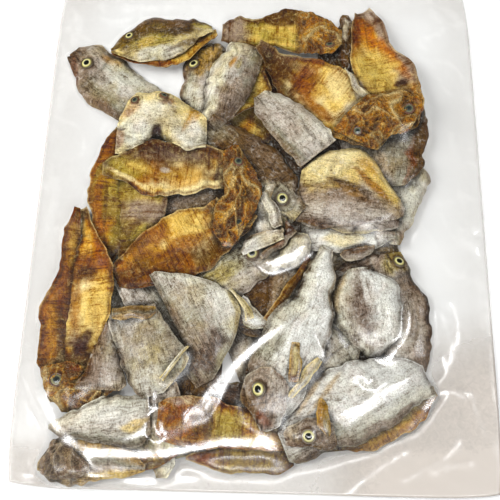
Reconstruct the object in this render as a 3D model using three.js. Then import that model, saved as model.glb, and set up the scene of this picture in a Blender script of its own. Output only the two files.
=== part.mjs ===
import * as THREE from 'three';

// A clear sealed bag of dried split rabbitfish, lying on its back on a flat surface.
// Millimetres. X runs across the bag, Y towards its upper seal, Z up from the surface.

const BAG_WIDTH = 304;
const BAG_LENGTH = 355;
const CORNER_DRAW = 7;       // how far the sheet's corners are drawn in
const CORNER_POWER = 10;     // how local that drawing-in is
const RIM = 1.6;             // the flattened edge, two layers of film
const FILM_GAP = 0.5;        // film over what it touches
const SEAL_BAND = 9;         // flat welded band at each end
const CELLS_ACROSS = 56;
const CELLS_ALONG = 64;
const RELAX_ROUNDS = 500;    // smoothing passes that pull the film taut
const SLACK = 0.11;          // sag of the film in one pass, mm
const FISH_WALL = 2.2;       // one dried half
const EDGE_LIFT = 5;         // how far a dried edge curls up
const FOLLOW = 0.7;          // how closely a fish follows what lies under it
const STEEPEST = 0.7;        // rise of the filled part in from the welded ends and the sides

// The fish from the bottom of the heap to the top: where the snout lies, the heading of
// the snout in degrees, the length, the reach to the left and right of the fold or spine,
// and whether it lies open. The last two numbers turn each half of an open fish outwards.
const OPEN = 2;
const SHUT = 1;
const FISH = [
  [-30, -16, 34, 79, 18, 18, SHUT],
  [48, 11, 64, 100, 20, 20, SHUT],
  [21, -71, 139, 56, 17, 17, SHUT],
  [-69, -90, 56, 71, 20, 20, SHUT],
  [-15, -60, -154, 60, 18, 16, SHUT],
  [67, 160, 81, 81, 11, 11, SHUT],
  [-100, 67, 92, 104, 20, 30, OPEN, 0, 0],
  [-35, 133, 80, 94, 15, 22, SHUT],
  [-137, 113, 147, 106, 21, 20, SHUT],
  [-112, 123, -168, 78, 17, 15, SHUT],
  [-12, 152, 77, 93, 17, 28, SHUT],
  [60, 135, 1, 87, 22, 16, OPEN, 0, 0],
  [90, 97, 89, 117, 33, 26, SHUT],
  [27, -16, -174, 68, 14, 14, SHUT],
  [1, 6, 173, 96, 19, 44, SHUT],
  [25, -20, -32, 121, 46, 46, OPEN, 0, 0],
  [85, 41, -66, 122, 34, 42, OPEN, -24, 50],
  [39, 6, -68, 86, 26, 18, SHUT],
  [1, 10, 6, 108, 34, 50, OPEN, -28, 40],
  [-76, 82, 91, 58, 24, 27, OPEN, -10, 55],
  [-116, -140, -87, 142, 34, 18, OPEN, 0, 0],
  [-93, -146, -88, 71, 17, 22, SHUT],
  [-37, -125, 9, 82, 18, 17, SHUT],
  [-129, -160, -172, 85, 13, 24, SHUT],
  [-66, -137, 175, 93, 17, 26, OPEN, 0, 0],
  [-49, -150, 176, 74, 14, 14, SHUT],
  [-11, -115, -50, 94, 34, 16, SHUT],
  [-82, -62, 104, 63, 17, 34, SHUT],
  [81, -28, 104, 90, 18, 20, SHUT],
  [34, -50, 160, 67, 30, 30, SHUT],
  [3, -139, -109, 124, 25, 27, SHUT],
  [15, -154, -154, 110, 23, 34, SHUT],
];
const HEAD = 0.45;           // reach at the head, as a share of the deepest reach
const DEEPEST = 0.42;        // where along the fish it is deepest
const TAIL = 0.22;           // reach at the tail
const ALONG_STEPS = 48;
const ASIDE_STEPS = 16;

const columns = CELLS_ACROSS + 1;
const rows = CELLS_ALONG + 1;
const at = (column, row) => row * columns + column;

// Where a point of the sheet lies, from its place -1..1 across and along the bag.
function sheetPoint(across, along) {
  const drawX = CORNER_DRAW * Math.abs(along) ** CORNER_POWER;
  const drawY = CORNER_DRAW * Math.abs(across) ** CORNER_POWER;
  return [across * (BAG_WIDTH / 2 - drawX), along * (BAG_LENGTH / 2 - drawY)];
}

// The reach of a half along the fish, as a share of its deepest reach.
function reach(along) {
  const nose = Math.sqrt(Math.min(along / 0.05, 1));
  if (along < DEEPEST) {
    return nose * (HEAD + (1 - HEAD) * Math.sin((along / DEEPEST) * Math.PI / 2));
  }
  const fall = Math.min((along - DEEPEST) / (0.93 - DEEPEST), 1);
  return TAIL + (1 - TAIL) * Math.cos(fall * Math.PI / 2);
}

// Points spread over one half of a fish, each with its height over the fish's own plane.
function halfPoints([x, y, heading, length, left, right, lie, turnLeft = 0, turnRight = 0], side) {
  const depth = side > 0 ? left : right;
  const turn = THREE.MathUtils.degToRad(side > 0 ? turnLeft : turnRight);
  const points = [];
  let direction = THREE.MathUtils.degToRad(heading + 180);
  let [spineX, spineY] = [x, y];
  for (let step = 0; step <= ALONG_STEPS; step += 1) {
    const along = step / ALONG_STEPS;
    const bent = direction + turn * THREE.MathUtils.clamp((along - 0.25) / 0.35, 0, 1);
    const width = depth * reach(along);
    for (let aside = 0; aside <= ASIDE_STEPS; aside += 1) {
      const share = aside / ASIDE_STEPS;
      const off = side * share * width;
      const lift = lie === OPEN ? EDGE_LIFT * share ** 2 : FISH_WALL * (1 - share ** 2);
      points.push([spineX + off * Math.sin(bent), spineY - off * Math.cos(bent), lift]);
    }
    spineX += Math.cos(bent) * length / ALONG_STEPS;
    spineY += Math.sin(bent) * length / ALONG_STEPS;
  }
  return points;
}

// The sheet cell nearest to a point, or null outside the part of the bag that is filled.
function cellOf(x, y) {
  const column = Math.round((x / BAG_WIDTH + 0.5) * CELLS_ACROSS);
  const row = Math.round((y / BAG_LENGTH + 0.5) * CELLS_ALONG);
  const outside = column < 2 || column > columns - 3 || row < 3 || row > rows - 4;
  return outside ? null : at(column, row);
}

// A blurred copy of a height field.
function blurred(field, passes) {
  let source = field;
  for (let pass = 0; pass < passes; pass += 1) {
    const target = source.slice();
    for (let row = 1; row < rows - 1; row += 1) {
      for (let column = 1; column < columns - 1; column += 1) {
        target[at(column, row)] = (source[at(column - 1, row)] + source[at(column + 1, row)]
          + source[at(column, row - 1)] + source[at(column, row + 1)]) / 4;
      }
    }
    source = target;
  }
  return source;
}

// Lays the fish one on another and returns the height of the heap over each sheet point.
function heapHeights() {
  const heap = new Float64Array(columns * rows);
  for (const fish of FISH) {
    const bed = blurred(heap, 6);
    const lifts = new Map();
    for (const [x, y, lift] of [...halfPoints(fish, 1), ...halfPoints(fish, -1)]) {
      const cell = cellOf(x, y);
      if (cell !== null) lifts.set(cell, Math.max(lifts.get(cell) ?? 0, lift));
    }
    const cells = [...lifts.keys()];
    const gap = Math.max(...cells.map((cell) => heap[cell] - FOLLOW * bed[cell] - lifts.get(cell)));
    const wall = fish[6] === OPEN ? FISH_WALL : 2 * FISH_WALL;
    for (const cell of cells) {
      const top = FOLLOW * bed[cell] + 0.6 * Math.max(gap, 0) + lifts.get(cell) + wall;
      heap[cell] = Math.max(heap[cell], top);
    }
  }
  return heap;
}

// How high the contents may stand at a sheet point, so that the film rises from the edges.
function headroom(column, row) {
  const aside = Math.min(column, columns - 1 - column) * (BAG_WIDTH / CELLS_ACROSS);
  const ahead = Math.min(row, rows - 1 - row) * (BAG_LENGTH / CELLS_ALONG) - SEAL_BAND;
  return Math.max(STEEPEST * Math.min(aside, ahead), 0);
}

// The film pulled taut over the heap, down to the flat rim all round.
function filmHeights(heap) {
  const sealRows = Math.round((SEAL_BAND / BAG_LENGTH) * CELLS_ALONG);
  const film = new Float64Array(columns * rows).fill(RIM);
  for (let round = 0; round < RELAX_ROUNDS; round += 1) {
    for (let row = 1; row < rows - 1; row += 1) {
      for (let column = 1; column < columns - 1; column += 1) {
        const around = (film[at(column - 1, row)] + film[at(column + 1, row)]
          + film[at(column, row - 1)] + film[at(column, row + 1)]) / 4;
        const held = row <= sealRows || row >= rows - 1 - sealRows;
        const contents = Math.min(heap[at(column, row)], headroom(column, row));
        const floor = held ? RIM : Math.max(contents + FILM_GAP, RIM);
        film[at(column, row)] = held ? RIM : Math.max(around - SLACK, floor);
      }
    }
  }
  return film;
}

// The sheet cells round the bag's edge, counter-clockwise seen from above.
function rimCells() {
  const ring = [];
  for (let column = 0; column < columns - 1; column += 1) ring.push(at(column, 0));
  for (let row = 0; row < rows - 1; row += 1) ring.push(at(columns - 1, row));
  for (let column = columns - 1; column > 0; column -= 1) ring.push(at(column, rows - 1));
  for (let row = rows - 1; row > 0; row -= 1) ring.push(at(0, row));
  return ring;
}

// The filled bag as one closed solid: film over the heap, a thin rim and a flat underside.
function filledBag() {
  const film = filmHeights(heapHeights());
  const positions = [];
  for (let row = 0; row < rows; row += 1) {
    for (let column = 0; column < columns; column += 1) {
      const [x, y] = sheetPoint(2 * column / CELLS_ACROSS - 1, 2 * row / CELLS_ALONG - 1);
      positions.push(x, y, film[at(column, row)]);
    }
  }
  const faces = [];
  for (let row = 0; row < CELLS_ALONG; row += 1) {
    for (let column = 0; column < CELLS_ACROSS; column += 1) {
      const [a, b] = [at(column, row), at(column + 1, row)];
      const [c, d] = [at(column, row + 1), at(column + 1, row + 1)];
      faces.push(a, b, d, a, d, c);
    }
  }
  const ring = rimCells();
  const under = columns * rows;
  ring.forEach((cell) => positions.push(positions[3 * cell], positions[3 * cell + 1], 0));
  const middle = under + ring.length;
  positions.push(0, 0, 0);
  ring.forEach((cell, index) => {
    const next = (index + 1) % ring.length;
    faces.push(cell, under + index, under + next, cell, under + next, ring[next]);
    faces.push(under + next, under + index, middle);
  });
  const geometry = new THREE.BufferGeometry();
  geometry.setAttribute('position', new THREE.Float32BufferAttribute(positions, 3));
  geometry.setIndex(faces);
  geometry.computeVertexNormals();
  return geometry;
}

const filmAndFish = new THREE.MeshStandardMaterial({ color: 0xb9a78a, roughness: 0.3, metalness: 0 });
const bag = new THREE.Mesh(filledBag(), filmAndFish);
bag.name = 'bag';

const pack = new THREE.Group();
pack.add(bag);

export default pack;
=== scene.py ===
"""A clear sealed bag of dried split rabbitfish: the fish, the film around them and the studio.

Blender works in metres. The heap is worked out here in millimetres, and every mesh is
brought to metres as its points are written.
"""
import math
from dataclasses import dataclass

import bmesh
import bpy
import numpy as np
from mathutils import Matrix, Vector


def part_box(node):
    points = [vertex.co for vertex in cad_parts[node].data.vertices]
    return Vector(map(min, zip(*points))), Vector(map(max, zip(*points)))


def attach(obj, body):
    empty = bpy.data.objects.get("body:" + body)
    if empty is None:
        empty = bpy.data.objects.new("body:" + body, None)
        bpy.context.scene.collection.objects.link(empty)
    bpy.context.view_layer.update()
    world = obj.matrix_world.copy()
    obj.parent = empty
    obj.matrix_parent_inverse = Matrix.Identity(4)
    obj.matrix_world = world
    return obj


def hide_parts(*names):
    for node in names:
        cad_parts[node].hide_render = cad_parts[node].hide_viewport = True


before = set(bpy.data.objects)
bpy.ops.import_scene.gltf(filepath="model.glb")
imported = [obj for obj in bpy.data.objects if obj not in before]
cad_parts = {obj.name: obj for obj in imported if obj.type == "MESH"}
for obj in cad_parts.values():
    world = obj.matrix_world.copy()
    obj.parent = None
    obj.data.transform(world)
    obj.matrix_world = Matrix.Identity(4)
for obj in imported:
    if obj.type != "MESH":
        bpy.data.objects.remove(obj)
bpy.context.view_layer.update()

MM = 0.001
LOWEST, HIGHEST = [np.array(corner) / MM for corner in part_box("bag")]
BAG_WIDTH, BAG_LENGTH = (HIGHEST - LOWEST)[:2]

# The grid of one dried half, and the cells of the heap's and the film's height grids.
CELLS_ACROSS = 48
CELLS_ALONG = 80
HEAP_CELL = 2.0
FILM_CELL = 1.5
RIM_CELL = 1.001         # keeps a point on the rim inside the last cell

# A dried half.
STATIONS = (0.0, 0.1, 0.25, 0.45, 0.65, 0.85, 1.0)   # where its reach is given
NO_HEAD = 0.02           # its head's share, when it is all body
ALL_HEAD = 1.2           # its head's share, when it is all head
HIDE = 2.0               # thickness
RIM_HIDE = 0.7           # thickness at its edges
DOME_GAIN = 2.0          # dome, curl and crimp stand this much higher than a half gives them
CURL_GAIN = 2.3
CRIMP_GAIN = 1.5
CREASE_DEPTH = 0.7       # thin wrinkles all over it
GILL_HEIGHT = 0.9        # the plate over its gill
MOUTH_DEPTH = 1.2
RUMPLE_HEIGHT = 3.5      # ridges of a crumpled head
EYE_RING_DEPTH = 0.45    # fine wrinkles round an eye
RAGGEDNESS = 1.6         # how far its edges stray

# The heap.
FLOOR_GAP = 0.4          # lower film and the air under it
LEAST_GAP = 0.15         # a fish stays this far over what it lies on
CLEARED = 93             # percent of a fish's points that come to lie clear of what is under it
CLOSE_FOLLOW = 0.8       # a fish that follows this closely feels small humps as well
BROAD_ROUNDS = 14        # how soft the heap is to other fish
CLOSE_ROUNDS = 3         # how soft it is to such a fish
# Painted shade in the gaps between the fish darkens over these depths.
SHADE_DEPTHS = (0.2, 3.6)   # depths among its neighbours where a point starts and ends darkening

# The film.
LOWER_FILM = 0.1         # height of the lower one
FILM_REST = 0.9          # height of the upper one over bare floor
FILM_OVER = 0.45         # the upper one stands this far over what it touches
FILM_ROUNDS = 1200       # rounds in which it is drawn taut
FILM_SLACK = 0.02        # how far it sinks in a round, towards the bag's lower end
MARGIN_SLACK = 0.05      # how much further it sinks beside the fish
RUCK_HEIGHT = 0.55       # fine rucks of its margins
RUCK_SEED = 7
CLINGING_GLOSS = 0.22    # gloss of film that clings, as a share of a fold's


# ---------------------------------------------------------------- numbers

def smooth(low, high, value):
    """0 below low, 1 above high, and an eased step between them."""
    share = np.clip((value - low) / (high - low), 0, 1)
    return share * share * (3 - 2 * share)


def blend(first, second, share):
    """Colours or numbers from first to second as share goes from 0 to 1."""
    share = np.asarray(share)
    if np.ndim(first) > np.ndim(share) or np.ndim(second) > np.ndim(share):
        share = share[..., None]
    return first + (second - first) * share


class Noise:
    """Smooth random values between -1 and 1 over a plane, the same each run."""

    SIDE = 97

    def __init__(self, seed):
        self.values = np.random.default_rng(seed).uniform(-1, 1, (self.SIDE, self.SIDE))

    def __call__(self, x, y, size):
        x, y = x / size, y / size
        column, row = np.floor(x).astype(int), np.floor(y).astype(int)
        across, along = smooth(0, 1, x - column), smooth(0, 1, y - row)
        corner = [self.values[(column + i) % self.SIDE, (row + j) % self.SIDE]
                  for i in (0, 1) for j in (0, 1)]
        near = blend(corner[0], corner[1], along)
        far = blend(corner[2], corner[3], along)
        return blend(near, far, across)


def ridged(noise, x, y, size):
    """Sharp crests between smooth hollows, from 0 to 1."""
    return (1 - np.abs(noise(x, y, size))) ** 2


def through(stations, values, place):
    """A smooth curve through values at stations."""
    stations, values = np.array(stations), np.array(values, float)
    steps = np.diff(values) / np.diff(stations)
    slopes = np.concatenate([[steps[0]], (steps[1:] + steps[:-1]) / 2, [steps[-1]]])
    turning = np.concatenate([[False], steps[1:] * steps[:-1] <= 0, [False]])
    slopes[turning] = 0
    index = np.clip(np.searchsorted(stations, place, side="right") - 1, 0, len(steps) - 1)
    width = np.diff(stations)[index]
    t = (place - stations[index]) / width
    start, end = values[index], values[index + 1]
    return ((2 * t**3 - 3 * t**2 + 1) * start + (t**3 - 2 * t**2 + t) * width * slopes[index]
            + (3 * t**2 - 2 * t**3) * end + (t**3 - t**2) * width * slopes[index + 1])


def linear(colour):
    """Scene-linear colour of a display colour given from 0 to 255."""
    share = np.array(colour, float) / 255
    return np.where(share < 0.04045, share / 12.92, ((share + 0.055) / 1.055) ** 2.4)


# ---------------------------------------------------------------- colours

PIGMENTS = {name: linear(colour) for name, colour in {
    "white": (254, 252, 244),
    "silver": (238, 237, 222),
    "cream": (254, 240, 190),
    "gold": (242, 214, 140),
    "honey": (212, 162, 84),
    "amber": (158, 94, 34),
    "rust": (132, 60, 20),
    "maroon": (62, 26, 14),
    "mauve": (164, 147, 130),
    "lilac": (218, 211, 200),
    "grey": (168, 166, 148),
    "olive": (126, 104, 52),
    "moss": (186, 170, 98),
    "tan": (196, 166, 112),
    "brown": (96, 64, 34),
    "umber": (112, 84, 50),
    "orange": (210, 126, 42),
    "ice": (244, 245, 240),
    "dark": (42, 30, 18),
}.items()}

# Each skin from the belly to the back, and its head.
SKINS = {
    "silver": ("silver", "lilac", "grey", "mauve", "mauve"),
    "pearl": ("ice", "ice", "silver", "grey", "grey"),
    "mauve": ("lilac", "mauve", "mauve", "brown", "mauve"),
    "olive": ("cream", "moss", "olive", "brown", "olive"),
    "tan": ("tan", "grey", "mauve", "tan", "tan"),
    "dark": ("umber", "umber", "brown", "dark", "umber"),
    "slate": ("lilac", "grey", "grey", "brown", "grey"),
    "shell": ("cream", "silver", "silver", "cream", "cream"),
}

# Each flesh from its middle out to its cut edge, and its head.
FLESHES = {
    "gold": ("cream", "gold", "amber", "brown", "amber"),
    "honey": ("gold", "honey", "amber", "rust", "amber"),
    "moss": ("gold", "moss", "olive", "brown", "olive"),
}


@dataclass
class Half:
    """One dried half of a fish, or both halves lying shut. Millimetres and degrees."""
    snout: tuple                 # where its axis starts
    heading: float               # the way the snout points
    length: float
    left: tuple                  # reach to the left of the axis at STATIONS
    right: tuple                 # reach to the right of the axis
    up: str = "skin"             # the side that shows: skin or flesh
    tone: str = "silver"
    fold: int = 0                # the uncut edge: 1 left, -1 right, 0 along the axis
    back: int = 1                # the edge with the dark back: 1 left, -1 right
    dome: float = 2.0            # height of its middle over its edges
    curl: tuple = (1.0, 1.0)     # how far the left and right edges curl up
    crimp: float = 0.5           # height of its wrinkles
    head: float = 0.26           # share of the length that is head
    crumple: float = 0.0         # how crumpled the head is
    spots: tuple = ()            # (pigment, along, across, half length, half width, strength)
    eye: tuple = ()              # (along, across, size, dullness) of each eye
    follow: float = 0.55         # how closely it follows what lies under it
    warm: float = 0.5            # how yellow its skin is stained
    marks: tuple = ()            # (pigment, x, y, half length, half width, heading, strength)


class Lie:
    """The grid of points of one half, seen from above."""

    def __init__(self, half, seed):
        self.half = half
        self.noise = Noise(seed)
        self.along, self.share = np.meshgrid(np.linspace(0, 1, CELLS_ALONG + 1),
                                             np.linspace(0, 1, CELLS_ACROSS + 1), indexing="ij")
        self.left = self.edge(half.left, 11)
        self.right = self.edge(half.right, 23)
        self.aside = -self.right + (self.left + self.right) * self.share
        self.place()
        self.measure()

    def edge(self, reaches, shift):
        """Reach of one edge along the half, slightly ragged."""
        reach = through(STATIONS, reaches, self.along)
        span, line = self.length_mm(), np.full_like(self.along, shift)
        ragged = self.noise(span, line, 11) + 0.6 * self.noise(span, line, 4)
        return reach + RAGGEDNESS * ragged * smooth(0, 6, np.abs(reach))

    def place(self):
        """Where every point lies in the bag, back from the snout and aside from the axis."""
        back, way = self.length_mm(), math.radians(self.half.heading + 180)
        self.x = self.half.snout[0] + back * math.cos(way) + self.aside * math.sin(way)
        self.y = self.half.snout[1] + back * math.sin(way) - self.aside * math.cos(way)

    def measure(self):
        """Shares across the half that colours and heights follow."""
        half = self.half
        self.width = np.maximum(self.left + self.right, 0.5)
        self.from_left = self.left - self.aside
        self.from_right = self.aside + self.right
        from_ends = np.minimum(self.length_mm(), (1 - self.along) * half.length)
        self.rim = np.minimum(np.minimum(self.from_left, self.from_right), from_ends)
        self.across = 2 * self.share - 1
        self.dorsal = self.share if half.back > 0 else 1 - self.share
        if half.fold:
            self.opening = self.share if half.fold < 0 else 1 - self.share
        else:
            outward = np.where(self.aside >= 0, self.aside / np.maximum(self.left, 1),
                               -self.aside / np.maximum(self.right, 1))
            self.opening = np.clip(outward, 0, 1)

    def heights(self):
        """Height of the underside over the surface that the half lies on."""
        half, noise = self.half, self.noise
        span = self.length_mm()

        # Its dome and its curled edges.
        arch = np.clip(1 - self.across**2, 0, 1) ** 0.8
        swell = np.clip(np.sin(np.pi * np.clip(self.along, 0.02, 1)), 0, 1) ** 0.5
        z = DOME_GAIN * half.dome * arch * swell
        reach = np.maximum(self.width * 0.22, 3)
        z += CURL_GAIN * half.curl[0] * np.exp(-self.from_left / reach)
        z += CURL_GAIN * half.curl[1] * np.exp(-self.from_right / reach)

        # Its wrinkles, highest near the edge, and what is on its head.
        wave = noise(span, self.aside, 17) + noise(span, self.aside, 8) * 0.5
        near_rim = np.exp(-self.rim / 6)
        z += CRIMP_GAIN * half.crimp * wave * (0.5 + 1.3 * near_rim)
        z -= CREASE_DEPTH * self.creases()
        z -= EYE_RING_DEPTH * self.round_eyes()[1] + MOUTH_DEPTH * self.mouth()
        if half.crumple:
            z += half.crumple * self.in_head() * RUMPLE_HEIGHT * (self.rumple() - 0.35)
        if half.up == "skin":
            z += GILL_HEIGHT * self.gill_cover()
        return z - z.min()

    def gill_line(self):
        """How far behind the arc of the gill cover's edge a point lies, as a share."""
        return self.along - self.half.head + 0.06 * self.across**2 - 0.02

    def gill_cover(self):
        """1 on the plate between the eye and the gill, 0 elsewhere."""
        plate = smooth(0.01, -0.01, self.gill_line()) * smooth(-0.2, -0.08, self.gill_line())
        return plate * smooth(0.95, 0.6, np.abs(self.across))

    def in_head(self):
        """1 on the head, 0 behind it."""
        return smooth(self.half.head + 0.07, self.half.head - 0.03, self.along)

    def rumple(self):
        """The folds of a crumpled head, from 0 in their hollows to 1 on their crests."""
        span, aside = self.length_mm(), self.aside
        bend = 6 * self.noise(span + 20, aside, 11)
        sway = 6 * self.noise(span, aside + 50, 11)
        broad = 1 - 2.4 * np.abs(self.noise(span * 0.7 + bend, aside + sway, 8))
        fine = 1 - 2.6 * np.abs(self.noise(span + 33 - sway, aside * 0.7 + bend, 4.5))
        return np.clip(np.maximum(broad, 0.8 * fine), 0, 1)

    def node(self, along, across):
        """The grid point nearest to a place on the half."""
        return int(round(along * CELLS_ALONG)), int(round((across + 1) / 2 * CELLS_ACROSS))

    def round_eyes(self):
        """How far each point is in the dark socket of an eye, and on the fine rings round it."""
        socket, rings = np.zeros_like(self.x), np.zeros_like(self.x)
        wobble = 1.6 * self.noise(self.x + 70, self.y, 6)
        for along, across, size, _ in self.half.eye:
            here = self.node(along, across)
            away = np.hypot(self.x - self.x[here], self.y - self.y[here]) / size
            socket = np.maximum(socket, smooth(1.5, 0.9, away))
            ring = smooth(0.2, 0.9, np.cos(away * 7 + wobble)) * smooth(3.2, 1.6, away)
            rings = np.maximum(rings, ring * smooth(0.9, 1.2, away))
        return socket, rings

    def mouth(self):
        """1 in the cleft that runs back from the snout of a head with an eye, 0 elsewhere."""
        if not self.half.eye or self.half.head > 1 or self.half.up == "flesh":
            return np.zeros_like(self.x)
        cleft = np.abs(self.aside - 1.5 * self.noise(self.length_mm(), np.zeros_like(self.x), 5))
        return smooth(1.1, 0.3, cleft) * smooth(0.11, 0.07, self.along)

    def creases(self):
        """Thin wrinkles along and across the half, 1 in their hollows."""
        span, aside = self.length_mm(), self.aside
        drift = 4 * self.noise(span + 40, aside, 14)
        along = 1 - np.abs(self.noise(span * 0.4 + drift, aside + drift, 5))
        aslant = 1 - np.abs(self.noise(span + aside * 0.5 + 60, aside * 0.6 + drift, 6))
        thick = 0.45 + 0.55 * smooth(-0.5, 0.5, self.noise(span, aside + 90, 18))
        return np.maximum(smooth(0.72, 0.98, along), 0.7 * smooth(0.78, 0.98, aslant)) * thick

    def length_mm(self):
        """How far behind the snout each point lies."""
        return self.along * self.half.length

    def thickness(self):
        """Thickness of the half at each point."""
        return RIM_HIDE + (HIDE - RIM_HIDE) * smooth(0, 5, self.rim)


# ---------------------------------------------------------------- the heap

def blurred(heights, rounds):
    """A grid of heights with each cell averaged with its neighbours, rounds times."""
    for _ in range(rounds):
        padded = np.pad(heights, 1, mode="edge")
        heights = (padded[:-2, 1:-1] + padded[2:, 1:-1] + padded[1:-1, :-2]
                   + padded[1:-1, 2:] + 2 * heights) / 6
    return heights


def cells_of(shape, x, y):
    """Where points lie on a grid that spans the bag, in columns and rows."""
    rows, columns = shape
    column = (x + BAG_WIDTH / 2) / BAG_WIDTH * (columns - 1)
    row = (y + BAG_LENGTH / 2) / BAG_LENGTH * (rows - 1)
    return np.clip(column, 0, columns - RIM_CELL), np.clip(row, 0, rows - RIM_CELL)


def sample(heights, x, y):
    """Heights at points, between the cells of a grid that spans the bag."""
    column, row = cells_of(heights.shape, x, y)
    i, j = column.astype(int), row.astype(int)
    low = blend(heights[j, i], heights[j, i + 1], column - i)
    high = blend(heights[j + 1, i], heights[j + 1, i + 1], column - i)
    return blend(low, high, row - j)


def doubled(values):
    """A grid with a row and a column added between each two."""
    rows = np.empty((values.shape[0] * 2 - 1, values.shape[1]))
    rows[::2] = values
    rows[1::2] = (values[1:] + values[:-1]) / 2
    both = np.empty((rows.shape[0], rows.shape[1] * 2 - 1))
    both[:, ::2] = rows
    both[:, 1::2] = (rows[:, 1:] + rows[:, :-1]) / 2
    return both


class Heap:
    """How high the heap stands over each cell of the bag's floor."""

    def __init__(self):
        self.top = np.full((int(BAG_LENGTH / HEAP_CELL) + 1, int(BAG_WIDTH / HEAP_CELL) + 1), FLOOR_GAP)

    def raise_to(self, x, y, z):
        """Raise the heap to a surface, its grid read four times as finely."""
        x, y, z = [doubled(doubled(values)) for values in (x, y, z)]
        column, row = cells_of(self.top.shape, x, y)
        np.maximum.at(self.top, (np.rint(row).astype(int), np.rint(column).astype(int)), z)

    def finish(self):
        """Keep a softened top, which tells how deep a point lies among its neighbours, for the painted
        shade in the gaps.
        """
        self.soft_top = blurred(self.top, 8)

    def settle(self, lies):
        """Lay the halves of one fish on the heap together."""
        x = np.concatenate([lie.x.ravel() for lie in lies])
        y = np.concatenate([lie.y.ravel() for lie in lies])
        form = np.concatenate([lie.heights().ravel() for lie in lies])
        follow = lies[0].half.follow
        rounds = BROAD_ROUNDS if follow < CLOSE_FOLLOW else CLOSE_ROUNDS
        under = sample(blurred(self.top, rounds), x, y)
        plane = np.stack([np.ones_like(x), x, y], 1)
        slope = plane @ np.linalg.lstsq(plane, under, rcond=None)[0]
        bottom = slope + follow * (under - slope) + form
        touched = sample(blurred(self.top, 1), x, y)
        bottom += np.percentile(touched - bottom, CLEARED)
        bottom = np.maximum(bottom, touched + LEAST_GAP)
        for lie, part in zip(lies, np.split(bottom, len(lies))):
            lie.bottom = part.reshape(lie.x.shape)
            lie.top = lie.bottom + lie.thickness()
            self.raise_to(lie.x, lie.y, lie.top)


# ---------------------------------------------------------------- colour of a half

def ramp_of(share, names, stops):
    """Pigments through which a share passes at its stops."""
    colours = np.array([PIGMENTS[name] for name in names])
    return np.stack([np.interp(share, stops, colours[:, channel]) for channel in range(3)], -1)


def pattern(lie, side):
    """Colour of a half's skin or flesh at every point of its grid."""
    half, noise = lie.half, lie.noise
    span = lie.length_mm()
    drift = 0.10 * noise(span, lie.aside, 12) + 0.07 * noise(span, lie.aside, 5)
    if side == "skin":
        names = SKINS[half.tone if half.tone in SKINS else "mauve"]
        place = np.clip(lie.dorsal + drift, 0, 1)
    else:
        names = FLESHES[half.tone if half.tone in FLESHES else "gold"]
        middle = ((lie.along - 0.52) / 0.45) ** 2 + ((lie.opening - 0.42) / 0.62) ** 2
        strands = noise(span + 25, lie.aside * 0.15, 2.6)
        place = np.clip(np.sqrt(middle) + drift + 0.09 * strands, 0, 1)
    colour = ramp_of(place, names[:4], (0.30, 0.58, 0.80, 1.0))
    head = smooth(half.head + 0.04, half.head - 0.06, lie.along + drift * 0.5)
    colour = blend(colour, PIGMENTS[names[4]], 0.75 * head)
    if side == "skin" and half.head > 0.1:
        # Painted shade in the crease along the gill cover's edge, and a paler gill cover.
        gill = np.exp(-(lie.gill_line() / 0.012) ** 2) * smooth(1, 0.8, np.abs(lie.across))
        colour = blend(colour, PIGMENTS["dark"], 0.7 * gill)
        colour = blend(colour, PIGMENTS["lilac"], 0.35 * lie.gill_cover())
    return colour


def spotted(lie, colour, spots):
    """A half's colour with its own patches laid over it, their edges drawn out in fibres."""
    noise, span = lie.noise, lie.length_mm()
    if lie.half.up == "flesh":
        fibre = noise(span, lie.aside * 0.2 + 70, 2.5)
    else:
        fibre = noise(span * 0.3 + 70, lie.aside, 3)
    for number, (pigment, along, across, long, wide, strength) in enumerate(spots):
        shift = 31 * number
        s = (lie.along - along) / long + 0.45 * noise(span + shift, lie.aside, 9)
        t = (lie.across - across) / wide + 0.45 * noise(span, lie.aside + shift, 9)
        mask = smooth(1.35, 0.5, np.sqrt(s**2 + t**2) + 0.35 * fibre)
        colour = blend(colour, PIGMENTS[pigment], strength * mask)
    return colour


def marked(lie, colour, marks):
    """A half's colour with patches laid over it at places in the bag."""
    noise, span = lie.noise, lie.length_mm()
    fibre = noise(span * 0.6 + 40, lie.aside * 0.6, 2.5)
    for number, (pigment, x, y, long, wide, heading, strength) in enumerate(marks):
        shift, turn = 17 * number, math.radians(heading)
        east, north = lie.x - x, lie.y - y
        s = (east * math.cos(turn) + north * math.sin(turn)) / long
        t = (north * math.cos(turn) - east * math.sin(turn)) / wide
        s += 0.25 * noise(lie.x + shift, lie.y, 8)
        t += 0.25 * noise(lie.x, lie.y + shift, 8)
        away = np.hypot(s, t)
        colour = blend(colour, PIGMENTS[pigment], strength * smooth(1.42, 0.55, away + 0.2 * fibre))
    return colour


def crumple_colour(lie):
    """Colour of a crumpled head: painted shade in its hollows and a painted highlight on its crests, with
    murky patches.
    """
    folds = ramp_of(lie.rumple(), ("rust", "amber", "orange", "honey", "cream"),
                    (0.0, 0.10, 0.25, 0.60, 1.0))
    folds = blend(folds, np.mean(folds, -1, keepdims=True), smooth(0.5, 0, lie.half.warm))
    murky = smooth(0.0, 0.5, lie.noise(lie.length_mm() + 55, lie.aside, 12))
    return blend(folds, folds * 0.35 + PIGMENTS["maroon"] * 0.2, 0.38 * murky)


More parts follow.
